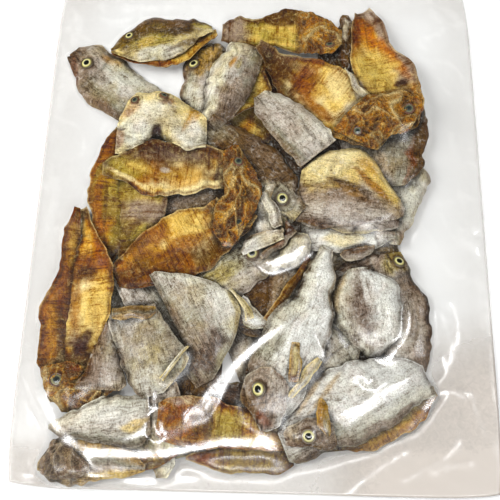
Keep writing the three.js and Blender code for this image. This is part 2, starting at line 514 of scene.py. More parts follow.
def half_colours(lie, heap):
    """Colours of the upper and the lower side, with dark wrinkles and a pale cut rim."""
    half = lie.half
    upper = marked(lie, spotted(lie, pattern(lie, half.up), half.spots), half.marks)
    lower = pattern(lie, "flesh" if half.up == "skin" else "skin")

    # Painted shade in its wrinkles, in the fine rings round its eyes and in the cleft of its mouth, and a
    # dark socket round each eye.
    shadow = blend(upper * 0.25, PIGMENTS["brown"] * 0.5, 0.4)
    socket, rings = lie.round_eyes()
    upper = blend(upper, shadow, np.maximum(0.3 * lie.creases(), 0.5 * rings))
    upper = blend(upper, PIGMENTS["brown"], 0.7 * socket)
    upper = blend(upper, PIGMENTS["maroon"], 0.8 * lie.mouth())

    # A pale cut rim with a line of painted shade beside it, broken in places.
    patchy = smooth(-0.4, 0.5, lie.noise(lie.length_mm() + 15, lie.aside, 16))
    beside = smooth(0.6, 1.2, lie.rim) * smooth(3.6, 1.4, lie.rim)
    rim_shade, pale_rim = (0.7, 0.4) if half.up == "flesh" else (0.4, 0.12)
    upper = blend(upper, PIGMENTS["brown"], rim_shade * beside * (1 - 0.5 * patchy))
    upper = blend(upper, PIGMENTS["cream"], pale_rim * smooth(1.2, 0.4, lie.rim) * patchy)
    # The crumpled head's painted shade and painted highlight.
    if half.crumple:
        upper = blend(upper, crumple_colour(lie), 0.9 * half.crumple * lie.in_head())

    # Painted shade: darker where it lies deep among its neighbours.
    deep = smooth(*SHADE_DEPTHS, sample(heap.soft_top, lie.x, lie.y) - lie.top)
    upper = blend(upper, upper * 0.16 + PIGMENTS["brown"] * 0.03, 0.92 * deep)
    return upper, lower


# ---------------------------------------------------------------- meshes

def mesh_of(shell, name):
    """The mesh of a finished bmesh."""
    mesh = bpy.data.meshes.new(name)
    shell.to_mesh(mesh)
    shell.free()
    return mesh


def closed_slab(name, columns, rows, reach):
    """A flat closed slab, one unit high, whose points are moved into a half or the film."""
    shell = bmesh.new()
    bmesh.ops.create_grid(shell, x_segments=columns, y_segments=rows, size=reach)
    lid = bmesh.ops.extrude_face_region(shell, geom=shell.faces[:])["geom"]
    raised = [part for part in lid if isinstance(part, bmesh.types.BMVert)]
    bmesh.ops.translate(shell, verts=raised, vec=(0, 0, 1))
    bmesh.ops.recalc_face_normals(shell, faces=shell.faces[:])
    return mesh_of(shell, name)


def points_of(mesh):
    """Every point of a mesh as one array."""
    points = np.empty(len(mesh.vertices) * 3)
    mesh.vertices.foreach_get("co", points)
    return points.reshape(-1, 3)


def write_points(mesh, points):
    """Move every point of a mesh."""
    mesh.vertices.foreach_set("co", np.ascontiguousarray(points, dtype=np.float32).ravel())
    mesh.update()


def store(mesh, name, values):
    """Keep one number or colour for each point of a mesh."""
    if values.ndim == 1:
        attribute = mesh.attributes.new(name, "FLOAT", "POINT")
        attribute.data.foreach_set("value", values.astype(np.float32))
        return
    attribute = mesh.attributes.new(name, "FLOAT_COLOR", "POINT")
    rgba = np.concatenate([values, np.ones((len(values), 1))], 1)
    attribute.data.foreach_set("color", rgba.astype(np.float32).ravel())


def put(name, mesh, material):
    """An object of the bag with its mesh, at the origin."""
    piece = bpy.data.objects.new(name, mesh)
    bpy.context.scene.collection.objects.link(piece)
    mesh.materials.clear()
    mesh.materials.append(material)
    mesh.polygons.foreach_set("use_smooth", [True] * len(mesh.polygons))
    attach(piece, "root")
    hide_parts("bag")
    return piece


def half_piece(name, lie, heap, template, material, seed):
    """The solid of one half from its settled grid."""
    mesh = template.copy()
    mesh.name = name
    unit = points_of(mesh)
    row = np.rint((unit[:, 1] + 0.5) * CELLS_ALONG).astype(int)
    column = np.rint((unit[:, 0] + 0.5) * CELLS_ACROSS).astype(int)
    here = (row, column)
    upper = unit[:, 2] > 0.5
    z = np.where(upper, lie.top[here], lie.bottom[here])
    write_points(mesh, np.stack([lie.x[here], lie.y[here], z], 1) * MM)
    top_colour, under_colour = half_colours(lie, heap)
    store(mesh, "tint", np.where(upper[:, None], top_colour[here], under_colour[here]))
    shows_flesh = lie.half.up == "flesh"
    store(mesh, "flesh", np.where(upper, float(shows_flesh), float(not shows_flesh)))
    store(mesh, "warm", np.full(len(unit), lie.half.warm))
    store(mesh, "crumple", lie.half.crumple * lie.in_head()[here] * upper)
    lay_grain(mesh, lie.length_mm()[here], lie.aside[here], seed)
    return put(name, mesh, material)


GRAIN_UNIT = 100         # the grain's map is in decimetres
GRAIN_SHIFT = (1.7, 0.9)   # how far it is moved from one half to the next


def lay_grain(mesh, along, aside, seed):
    """A UV map that runs along and across the fish."""
    layer = mesh.uv_layers.new(name="grain")
    corner = np.empty(len(mesh.loops), dtype=np.int32)
    mesh.loops.foreach_get("vertex_index", corner)
    place = np.stack([along[corner], aside[corner]], 1) / GRAIN_UNIT + seed * np.array(GRAIN_SHIFT)
    layer.data.foreach_set("uv", place.astype(np.float32).ravel())


# ---------------------------------------------------------------- materials

class Value:
    """A node's output, worked on with ordinary operators."""

    def __init__(self, paint, socket):
        self.paint = paint
        self.socket = socket

    def math(self, operation, first, second):
        """A Math node on two values or numbers."""
        return self.paint.node("ShaderNodeMath", {0: first, 1: second}, operation=operation)

    def __add__(self, other):
        return self.math("ADD", self, other)

    def __radd__(self, other):
        return self.math("ADD", other, self)

    def __sub__(self, other):
        return self.math("SUBTRACT", self, other)

    def __rsub__(self, other):
        return self.math("SUBTRACT", other, self)

    def __mul__(self, other):
        return self.math("MULTIPLY", self, other)

    def __rmul__(self, other):
        return self.math("MULTIPLY", other, self)

    def __pow__(self, other):
        return self.math("POWER", self, other)


class Paint:
    """One material and the nodes in it."""

    def __init__(self, name):
        self.material = bpy.data.materials.new(name)
        self.material.use_nodes = True
        self.tree = self.material.node_tree
        self.tree.nodes.clear()

    def node(self, kind, inputs=None, output=0, stops=None, **settings):
        """A node with its settings first, then its sockets, and one of its outputs."""
        node = self.tree.nodes.new(kind)
        for name, value in settings.items():
            setattr(node, name, value)
        if stops:
            self.set_stops(node.color_ramp, stops)
        for name, value in (inputs or {}).items():
            if isinstance(value, Value):
                self.tree.links.new(value.socket, node.inputs[name])
            else:
                node.inputs[name].default_value = value
        return Value(self, node.outputs[output])

    @staticmethod
    def set_stops(ramp, stops):
        """Give a ramp its stops, each a place and a grey or a colour."""
        while len(ramp.elements) < len(stops):
            ramp.elements.new(0.5)
        for element, (place, shade) in zip(ramp.elements, stops):
            element.position = place
            element.color = (*(shade if np.ndim(shade) else (shade,) * 3), 1)

    def kept(self, name, output="Fac"):
        """A value kept on the mesh."""
        return self.node("ShaderNodeAttribute", output=output, attribute_name=name)

    def mapped(self, place, scale, turn=0.0):
        """Coordinates turned and scaled."""
        return self.node("ShaderNodeMapping",
                         {"Vector": place, "Scale": scale, "Rotation": (0, 0, turn)})

    def noise(self, place, scale, detail=3.0, roughness=0.55, distortion=0.0):
        """Cloudy noise over a surface."""
        return self.node("ShaderNodeTexNoise",
                         {"Vector": place, "Scale": scale, "Detail": detail,
                          "Roughness": roughness, "Distortion": distortion})

    def ramp(self, factor, stops):
        """A factor turned into greys or colours through stops."""
        return self.node("ShaderNodeValToRGB", {"Fac": factor}, stops=stops)

    def mix(self, first, second, factor, blend_type="MIX"):
        """Two colours mixed by a factor."""
        return self.node("ShaderNodeMix", {0: factor, 6: first, 7: second}, output=2,
                         data_type="RGBA", blend_type=blend_type)

    def finish(self, shader):
        """Give the material its shader."""
        out = self.tree.nodes.new("ShaderNodeOutputMaterial")
        self.tree.links.new(shader.socket, out.inputs["Surface"])
        return self.material


# Finishes of the fish.
SKIN_SHADOW = (0.17, 0.12, 0.07, 1)
MEAT_SHADOW = (0.30, 0.15, 0.05, 1)
SKIN_STAIN = (0.88, 0.77, 0.42, 1)
SKIN_BLUSH = (0.80, 0.68, 0.66, 1)
# Painted highlights on the crests of the mottled bump, on skin and on flesh.
SCALE_GLINT = (0.93, 0.93, 0.88, 1)
FAT_GLINT = (0.95, 0.80, 0.42, 1)
# Painted highlight on the crests of a crumpled head, and painted shade in its hollows.
CRUMPLE_CREST_HIGHLIGHT = (0.98, 0.78, 0.46, 1)
CRUMPLE_HOLLOW_SHADE = (0.05, 0.016, 0.005, 1)
RICHNESS = 1.19          # saturation of the whole fish
RELIEF = 0.001           # height of a full step of the bump, in metres


def dried_fish():
    """Skin and flesh of the fish: wrinkled speckled hide, and fibrous oily meat."""
    paint = Paint("dried_fish")
    grain = paint.node("ShaderNodeUVMap", uv_map="grain")
    body = paint.node("ShaderNodeTexCoord", output="Object")
    tint = paint.kept("tint", "Color")
    flesh = paint.kept("flesh")
    crumple = paint.kept("crumple")

    cloud = paint.noise(body, 90, 4, 0.6, 0.6)
    mottle = paint.noise(body, 380, 3, 0.7, 0.8)
    speckle = paint.noise(body, 1100, 2, 0.7)
    silk = paint.noise(paint.mapped(grain, (11, 70, 1), 0.35), 1, 2, 0.5, 1.4)
    cross_silk = paint.noise(paint.mapped(grain, (66, 12, 1), -0.25), 1, 2, 0.5, 1.4)
    lines = crest(paint.noise(paint.mapped(grain, (7, 17, 1), 0.5), 1, 2, 0.5, 1.6), 11)
    fibre = paint.noise(paint.mapped(grain, (60, 5, 1), 0.12), 1, 3, 0.6, 0.8)
    veins = crest(paint.noise(paint.mapped(grain, (13, 15, 1), 0.7), 1, 2, 0.5, 1.8), 14)

    shade = paint.ramp(cloud, [(0.36, 1.0), (0.60, 0.0)])
    warm = paint.ramp(paint.noise(body, 55, 2, 0.5), [(0.45, 0.0), (0.65, 1.0)])
    blush = paint.ramp(paint.noise(body, 75, 3, 0.6, 0.8), [(0.48, 0.0), (0.62, 1.0)])
    strokes = paint.ramp(silk, [(0.38, 1.0), (0.49, 0.0)])
    hatching = paint.ramp(cross_silk, [(0.37, 1.0), (0.46, 0.0)])
    stains = paint.ramp(mottle, [(0.36, 1.0), (0.54, 0.0)])
    dots = paint.ramp(speckle, [(0.36, 1.0), (0.52, 0.0)])
    # Painted highlights where the mottled bump stands highest.
    glints = paint.ramp(mottle, [(0.52, 0.0), (0.68, 1.0)])
    strands = paint.ramp(fibre, [(0.34, 1.0), (0.50, 0.0)])

    # Pale places show fewer marks.
    pale = paint.node("ShaderNodeRGBToBW", {"Color": tint})
    busy = (0.42 + shade * 0.72) * (1.32 - pale)
    marks = strokes * 0.48 + hatching * 0.32 + stains * 0.34 + lines * 0.32
    skin_shade = marks * busy + dots * 0.44 + shade * 0.05

    skin = paint.mix(tint, SKIN_STAIN, warm * paint.kept("warm"), "MULTIPLY")
    skin = paint.mix(skin, SKIN_BLUSH, blush * 0.3, "MULTIPLY")
    skin = paint.mix(skin, paint.mix(skin, SKIN_SHADOW, 1.0, "MULTIPLY"), skin_shade)
    skin = paint.mix(skin, SCALE_GLINT, glints * (1 - shade) * 0.3)

    meat_shade = (strands * 0.66 + veins * 0.3 + stains * 0.42) * busy + shade * 0.22 + dots * 0.36
    meat = paint.mix(tint, paint.mix(tint, MEAT_SHADOW, 1.0, "MULTIPLY"), meat_shade)
    meat = paint.mix(meat, FAT_GLINT, glints * (1 - shade) * 0.3)

    hide = paint.mix(skin, meat, flesh)
    # Painted highlights on the crumple's crests and painted shade in its hollows.
    ridges = crest(paint.noise(body, 190, 1, 0.4, 2.6), 6)
    hide = paint.mix(hide, CRUMPLE_CREST_HIGHLIGHT, crumple * ridges * 0.3)
    hide = paint.mix(hide, CRUMPLE_HOLLOW_SHADE, crumple * stains * 0.42)
    hide = paint.node("ShaderNodeHueSaturation", {"Color": hide, "Saturation": RICHNESS})

    skin_relief = strokes * -0.3 + hatching * -0.2 + lines * -0.3 + mottle * 0.7
    meat_relief = strands * -0.4 + veins * -0.3 + mottle * 0.9
    relief = skin_relief * (1 - flesh) + meat_relief * flesh + crumple * ridges * 3
    normal = paint.node("ShaderNodeBump", {"Height": relief, "Strength": 0.8, "Distance": RELIEF})
    gloss = paint.node("ShaderNodeMapRange", {"Value": cloud, "To Min": 0.28, "To Max": 0.55})
    shader = paint.node("ShaderNodeBsdfPrincipled",
                        {"Base Color": hide, "Roughness": gloss, "Normal": normal,
                         "Specular IOR Level": 0.16})
    return paint.finish(shader)


def crest(noise, sharpness):
    """Thin bright lines where a noise crosses its middle."""
    paint = noise.paint
    away = paint.node("ShaderNodeMath", {0: noise - 0.5}, operation="ABSOLUTE")
    return (1 - away * 2) ** sharpness


# Display colours of an eye from its middle out to its lid, while it is bright and when it is dull.
BRIGHT_EYE = ((0.0, (14, 16, 12)), (0.40, (24, 26, 18)), (0.47, (222, 214, 158)),
              (0.64, (176, 168, 92)), (0.76, (70, 58, 30)), (1.0, (84, 66, 42)))
DULL_EYE = ((0.0, (20, 28, 32)), (0.42, (52, 60, 56)), (0.60, (112, 112, 78)),
            (0.75, (70, 40, 18)), (1.0, (110, 60, 24)))


def eye_finish():
    """An eye: a black pupil in a pale ring, in a dark socket."""
    paint = Paint("fish_eye")
    body = paint.node("ShaderNodeTexCoord", output="Object")
    fleck = paint.noise(body, 1500, 2, 0.6)
    ring = paint.kept("ring") + (fleck - 0.5) * 0.12
    bright, dull = [paint.ramp(ring, [(place, tuple(linear(colour))) for place, colour in stops])
                    for stops in (BRIGHT_EYE, DULL_EYE)]
    colour = paint.mix(bright, dull, paint.kept("dull"))
    rough = paint.ramp(ring, [(0.0, 0.12), (0.6, 0.35), (1.0, 0.55)])
    shader = paint.node("ShaderNodeBsdfPrincipled", {"Base Color": colour, "Roughness": rough})
    return paint.finish(shader)


# The film's own colours: single, double where its two sheets lie together, and milky.
FILM_CLEAR = (0.98, 0.98, 0.975, 1)
FILM_DOUBLE = (0.80, 0.80, 0.795, 1)
FILM_MILK = (0.56, 0.51, 0.46, 1)
FILM_MIRROR = (1, 1, 1, 1)


def clear_film():
    """Thin clear plastic: light passes, its surface mirrors, and creased film is milky."""
    paint = Paint("clear_film")
    body = paint.node("ShaderNodeTexCoord", output="Object")
    haze = paint.kept("haze")
    crinkle = paint.noise(paint.mapped(body, (1, 0.6, 1)), 60, 3, 0.6, 0.5)
    fine = paint.noise(body, 260, 3, 0.6, 1.0)
    height = crinkle + fine * haze * 0.12
    normal = paint.node("ShaderNodeBump", {"Height": height, "Strength": 0.3, "Distance": RELIEF})
    single = paint.node("ShaderNodeBsdfTransparent", {"Color": FILM_CLEAR})
    double = paint.node("ShaderNodeBsdfTransparent", {"Color": FILM_DOUBLE})
    clear = paint.node("ShaderNodeMixShader", {0: paint.kept("doubled"), 1: single, 2: double})
    milk = paint.node("ShaderNodeBsdfDiffuse", {"Color": FILM_MILK})
    mirror = paint.node("ShaderNodeBsdfAnisotropic",
                        {"Color": FILM_MIRROR, "Roughness": 0.26, "Normal": normal})
    facing = paint.node("ShaderNodeLayerWeight", {"Blend": 0.5}, output="Facing")
    streaks = paint.ramp(paint.noise(body, 130, 3, 0.65, 1.2), [(0.36, 0.35), (0.54, 1.0)])
    edge_on = (facing ** 4 * 0.8 + 0.085) * paint.kept("gloss") * streaks
    sheet = paint.node("ShaderNodeMixShader", {0: haze * (0.75 + fine * 0.5), 1: clear, 2: milk})
    shader = paint.node("ShaderNodeMixShader", {0: edge_on, 1: sheet, 2: mirror})
    return paint.finish(shader)


def white_floor():
    """Plain white paper."""
    paint = Paint("white_floor")
    body = paint.node("ShaderNodeTexCoord", output="Object")
    paper = paint.noise(body, 40, 2)
    colour = paint.ramp(paper, [(0.0, 0.84), (1.0, 0.88)])
    shader = paint.node("ShaderNodeBsdfPrincipled",
                        {"Base Color": colour, "Roughness": 0.8, "Specular IOR Level": 0.1})
    return paint.finish(shader)


# ---------------------------------------------------------------- eyes

# An eye's outline as radius and height, from its middle out, and how many steps it is spun in.
EYE_PROFILE = ((0.0, 1.25), (0.8, 1.2), (1.45, 0.95), (1.75, 0.72), (2.3, 0.7), (2.8, 0.5),
               (3.0, 0.35), (3.2, 0.6), (3.5, 0.75), (3.8, 0.45), (4.0, -0.3))
EYE_RADIUS = EYE_PROFILE[-1][0]
EYE_STEPS = 24


def eye_mesh(centre, normal, size, dullness):
    """A dried eye: a pupil dome, a flat ring and a raised lid, spun about its axis."""
    shell = bmesh.new()
    profile = [shell.verts.new((r, 0, z)) for r, z in EYE_PROFILE]
    edges = [shell.edges.new(pair) for pair in zip(profile, profile[1:])]
    bmesh.ops.spin(shell, geom=profile + edges, cent=(0, 0, 0), axis=(0, 0, 1),
                   angle=math.tau, steps=EYE_STEPS, use_merge=True)
    bmesh.ops.remove_doubles(shell, verts=shell.verts, dist=0.001)
    rim = [edge for edge in shell.edges if edge.is_boundary]
    bmesh.ops.contextual_create(shell, geom=rim)
    bmesh.ops.recalc_face_normals(shell, faces=shell.faces[:])
    mesh = mesh_of(shell, "eye")
    points = points_of(mesh)
    store(mesh, "ring", np.hypot(points[:, 0], points[:, 1]) / EYE_RADIUS)
    store(mesh, "dull", np.full(len(points), dullness))
    turn = Vector(normal).to_track_quat("Z", "Y").to_matrix()
    points = points * size / EYE_RADIUS @ np.array(turn).T + np.array(centre)
    write_points(mesh, points * MM)
    return mesh


def eyes_of(name, lie, material):
    """The eyes of one half, set into its surface."""
    for number, (along, across, size, dullness) in enumerate(lie.half.eye, 1):
        row, column = lie.node(along, across)
        centre = [grid[row, column] for grid in (lie.x, lie.y, lie.top)]
        normal = surface_normal(lie, row, column, 3)
        mesh = eye_mesh(centre, normal, size, dullness)
        put(f"{name}_eye_{number}", mesh, material)


def surface_normal(lie, row, column, span):
    """The way a half's top faces at one of its grid's points."""
    def point(i, j):
        i, j = min(max(i, 0), CELLS_ALONG), min(max(j, 0), CELLS_ACROSS)
        return np.array([grid[i, j] for grid in (lie.x, lie.y, lie.top)])
    across = point(row, column + span) - point(row, column - span)
    along = point(row + span, column) - point(row - span, column)
    normal = np.cross(across, along)
    return normal / np.linalg.norm(normal)


# ---------------------------------------------------------------- film

FILM_COLUMNS = 190
FILM_ROWS = 222
CORNER_DRAW = 3          # how far the sheet's corners are drawn in
CORNER_POWER = 10        # how closely this keeps to the corners

# A flank is lit when its slope, less a share of its place, is as long as this.
LIT_SLOPE = 0.55
LIT_DRIFT = 0.0018       # for each millimetre from the middle of the bag
LIT_SIDE = (0.4, -1.0)   # the side on which a fold's flank lies
FOLD_BACK = 0.8          # slope of its other side
FOLD_END = 1.5           # slope beyond its foot and past its ends
FOLD_STEPS = 60          # points along a fold
FOOT_STEPS = 13          # points over which the height under it is averaged

# Folds of the film: the points each runs through and the width of its flank.
FOLDS = (
    (((-138, -106), (-126, -124), (-114, -140), (-97, -150), (-63, -150), (-18, -142), (14, -143)), 10.5),
    (((-121, -150), (-112, -161), (-104, -172)), 3.4),
    (((-48, -142), (-34, -119), (-17, -99), (6, -80), (30, -68)), 11.5),
    (((-67, -106), (-64, -127), (-60, -137), (-56, -156)), 7.5),
    (((-90, -149), (-70, -140), (-65, -129), (-66, -114)), 5.0),
    (((40, -60), (54, -80), (65, -93), (76, -94), (90, -81), (93, -66), (88, -48)), 6.5),
    (((56, -90), (64, -103), (70, -118)), 13.0),
    (((46, -130), (64, -120), (86, -109), (107, -98), (124, -86)), 11.0),
    (((114, -48), (120, -76), (122, -89), (115, -112)), 4.5),
    (((-3, -41), (11, -33), (25, -26), (38, -20)), 9.0),
    (((27, -72), (36, -85), (42, -99)), 3.4),
    (((129, -23), (139, -11), (151, -3)), 4.2),
    (((132, -5), (141, -15), (148, -26)), 4.0),
    (((139, 70), (141, -8), (140, -69), (141, -130)), 2.6),
    (((131, 40), (133, -43), (134, -88), (135, -140)), 2.4),
    (((-148, -166), (-118, -172), (-97, -168), (-69, -172), (-39, -167), (-3, -171)), 3.2),
    (((-17, -172), (22, -167), (52, -172), (88, -166), (134, -160)), 1.2),
    (((50, -181), (62, -168), (84, -153), (100, -147)), 5.5),
    (((78, -171), (101, -160), (117, -151), (131, -132)), 5.0),
    (((101, -165), (119, -157), (138, -156)), 4.5),
    (((-144, -116), (-136, -144), (-120, -158)), 2.0),
    (((-147, -144), (-138, -159), (-122, -170)), 2.0),
    (((-147, 167), (-138, 147), (-141, 122)), 3.4),
    (((-148, 124), (-141, 102), (-133, 82)), 3.4),
    (((-124, 165), (-85, 160), (-56, 163), (-18, 161)), 3.0),
    (((-132, 158), (-112, 148), (-94, 152)), 2.4),
    (((-116, 168), (-104, 157), (-88, 166)), 2.0),
    (((-150, 112), (-143, 90), (-146, 66)), 3.6),
    (((-150, 40), (-140, 10), (-146, -30)), 3.0),
    (((-68, 150), (-48, 158), (-30, 152)), 2.0),
    (((121, -50), (127, -70), (126, -92)), 4.5),
    (((100, -128), (122, -112), (138, -118)), 4.0),
    (((121, 168), (131, 153), (135, 130)), 3.2),
)


def lit_slope(x, y, side_x, side_y):
    """The slope at which flanks that face a side catch the strip lamps."""
    facing = -LIT_DRIFT * (side_x * x + side_y * y)
    return facing + np.sqrt(LIT_SLOPE**2 - LIT_DRIFT**2 * (x**2 + y**2) + facing**2)


def with_folds(film, x, y):
    """The film's heights with its folds standing on them, each with one straight flank."""
    folded = film.copy()
    share = np.linspace(0, 1, FOLD_STEPS)
    fading = smooth(0, 0.22, share) * smooth(1, 0.78, share)
    for points, flank in FOLDS:
        # The line of its crest, and the side to which its flank falls.
        run = [through(np.linspace(0, 1, len(points)), values, share) for values in zip(*points)]
        way_x, way_y = [np.gradient(values) for values in run]
        turn = np.where(way_y * LIT_SIDE[0] - way_x * LIT_SIDE[1] > 0, 1, -1) / np.hypot(way_x, way_y)
        side_x, side_y = turn * way_y, -turn * way_x
        slope = lit_slope(*run, side_x, side_y)

        # The height of its crest, over the film as it lay before.
        foot = np.pad(sample(film, *run), FOOT_STEPS // 2, mode="edge")
        base = np.convolve(foot, np.full(FOOT_STEPS, 1 / FOOT_STEPS), "valid")
        crest = base + slope * flank * fading

        # For each point of the film, the nearest point of the crest.
        closest = np.full(x.shape, np.inf)
        offset, top, steep = np.zeros_like(x), np.zeros_like(x), np.zeros_like(x)
        for at_x, at_y, across, along, level, tilt in zip(*run, side_x, side_y, crest, slope):
            away = (x - at_x) ** 2 + (y - at_y) ** 2
            closer = away < closest
            closest = np.where(closer, away, closest)
            offset = np.where(closer, (x - at_x) * across + (y - at_y) * along, offset)
            top = np.where(closer, level, top)
            steep = np.where(closer, tilt, steep)

        # Down from the crest on both sides, and quickly past the foot and the ends.
        beyond = np.maximum(np.abs(offset) - flank, 0) + np.sqrt(closest) - np.abs(offset)
        fall = np.where(offset > 0, steep * offset, -FOLD_BACK * offset)
        folded = np.maximum(folded, top - fall - FOLD_END * beyond)
    return folded


def film_haze(x, y, upper, bare):
    """How milky the film is: most in its lower right corner, least where it lies on fish."""
    right, left = BAG_WIDTH / 2 - x, BAG_WIDTH / 2 + x
    low, high = BAG_LENGTH / 2 + y, BAG_LENGTH / 2 - y
    haze = 0.36 * smooth(34, 16, low) + 0.10 * smooth(40, 6, right) + 0.10 * smooth(30, 8, high)
    haze += 0.8 * smooth(122, 60, np.hypot(right, low)) + 0.16 * smooth(50, 8, left)
    haze = 0.006 + haze * (0.10 + 0.90 * bare)
    edge = np.minimum(np.minimum(right, left), np.minimum(low, high))
    return (haze + 0.35 * smooth(1.6, 0.4, edge)) * upper


def bare_floor(heap, x, y):
    """1 where no fish lies under the film, 0 well inside the heap."""
    return smooth(1.6, 0.3, sample(blurred(heap.top, 2), x, y) - FLOOR_GAP)


def film_heights(heap):
    """The film's height over each cell, taut over the fish with its folds on it, and where they are."""
    columns, rows = int(BAG_WIDTH / FILM_CELL) + 1, int(BAG_LENGTH / FILM_CELL) + 1
    x, y = np.meshgrid(np.linspace(-BAG_WIDTH / 2, BAG_WIDTH / 2, columns),
                       np.linspace(-BAG_LENGTH / 2, BAG_LENGTH / 2, rows))
    touched = sample(blurred(heap.top, 1), x, y) + FILM_OVER
    touched[sample(heap.top, x, y) <= FLOOR_GAP + 0.2] = FILM_REST
    z = touched.copy()
    slack = FILM_SLACK * smooth(60, -60, y[1:-1, 1:-1])
    slack = slack + MARGIN_SLACK * bare_floor(heap, x, y)[1:-1, 1:-1]
    for _ in range(FILM_ROUNDS):
        around = (z[:-2, 1:-1] + z[2:, 1:-1] + z[1:-1, :-2] + z[1:-1, 2:]) / 4
        z[1:-1, 1:-1] = np.maximum(touched[1:-1, 1:-1], around - slack)
    folded = blurred(with_folds(z, x, y), 2)
    return np.maximum(folded, touched), smooth(0.15, 0.8, blurred(folded - z, 1))


def film_piece(heap, material):
    """The bag's film as one closed pillow round the heap."""
    mesh = closed_slab("film", FILM_COLUMNS, FILM_ROWS, 1)
    unit = points_of(mesh)
    upper = unit[:, 2] > 0.5
    across, along = unit[:, 0], unit[:, 1]
    x = across * (BAG_WIDTH / 2 - CORNER_DRAW * np.abs(along) ** CORNER_POWER)
    y = along * (BAG_LENGTH / 2 - CORNER_DRAW * np.abs(across) ** CORNER_POWER)
    heights, folds = film_heights(heap)

    # Fine rucks in the margins, fewer at the rim and at the bag's lower end.
    away = np.minimum(BAG_WIDTH / 2 - np.abs(x), BAG_LENGTH / 2 - np.abs(y))
    ruck = Noise(RUCK_SEED)
    crease = 0.9 * ridged(ruck, x + 0.3 * y, y * 0.5, 13) + 0.5 * ridged(ruck, x * 0.7, y + 0.4 * x, 7)
    margin = smooth(60, 8, away) * smooth(0, 4, away) * smooth(-200, -130, y)
    top = sample(heights, x, y) + RUCK_HEIGHT * margin * crease
    write_points(mesh, np.stack([x, y, np.where(upper, top, LOWER_FILM)], 1) * MM)

    # Where its two sheets lie together it is darker, most at the sides, unless a ruck parts them.
    sides = 0.16 + 0.28 * smooth(-40, -120, x) + 0.2 * smooth(100, 150, x) + 0.08 * smooth(60, 160, y)
    parted = np.maximum(sample(folds, x, y), 0.6 * smooth(0.8, 1.25, crease))
    bare = bare_floor(heap, x, y)
    store(mesh, "haze", film_haze(x, y, upper, bare))
    store(mesh, "doubled", upper * sides * (1 - parted) * smooth(-150, -110, y) * bare)
    store(mesh, "gloss", upper * (CLINGING_GLOSS + (1 - CLINGING_GLOSS) * sample(folds, x, y)))
    return put("film", mesh, material)


# ---------------------------------------------------------------- the fish

# Fish that lie under all the others: x, y, heading, length, width, tone.
LOWER_LAYER = (
    (-4, 76, 60, 84, 44, "honey"),
    (-43, 1, 20, 84, 44, "mauve"),
    (39, 47, -40, 84, 46, "dark"),
    (6, -92, -60, 80, 46, "slate"),
    (57, -30, 10, 74, 44, "tan"),
    (-98, -62, 60, 60, 36, "slate"),
    (-21, -131, 0, 74, 36, "dark"),
    (13, -109, 50, 60, 40, "slate"),
    (42, -119, -20, 60, 40, "slate"),
    (60, -90, 80, 60, 40, "dark"),
    (-60, -146, 0, 64, 26, "olive"),
    (66, -50, 30, 60, 40, "mauve"),
    (-12, -55, -30, 80, 44, "dark"),
    (60, 100, -70, 80, 40, "dark"),
    (-88, 10, 80, 80, 30, "moss"),
    (-44, -112, 70, 60, 40, "dark"),
)


def lower_half(x, y, heading, length, width, tone):
    """One plain half round its middle."""
    way = math.radians(heading)
    snout = (x + length / 2 * math.cos(way), y + length / 2 * math.sin(way))
    reach = tuple(width / 2 * share for share in (0.3, 0.65, 0.95, 1.0, 0.9, 0.6, 0.2))
    return Half(snout, heading, length, reach, reach, tone=tone, dome=1.2,
                up="flesh" if tone in FLESHES else "skin")


# How a fin or a flap of skin lies on the fish under it.
FLAP = {"head": NO_HEAD, "follow": 0.9, "curl": (0, 0)}

# Every other fish, from the bottom of the heap to the top, each as one half or as two.

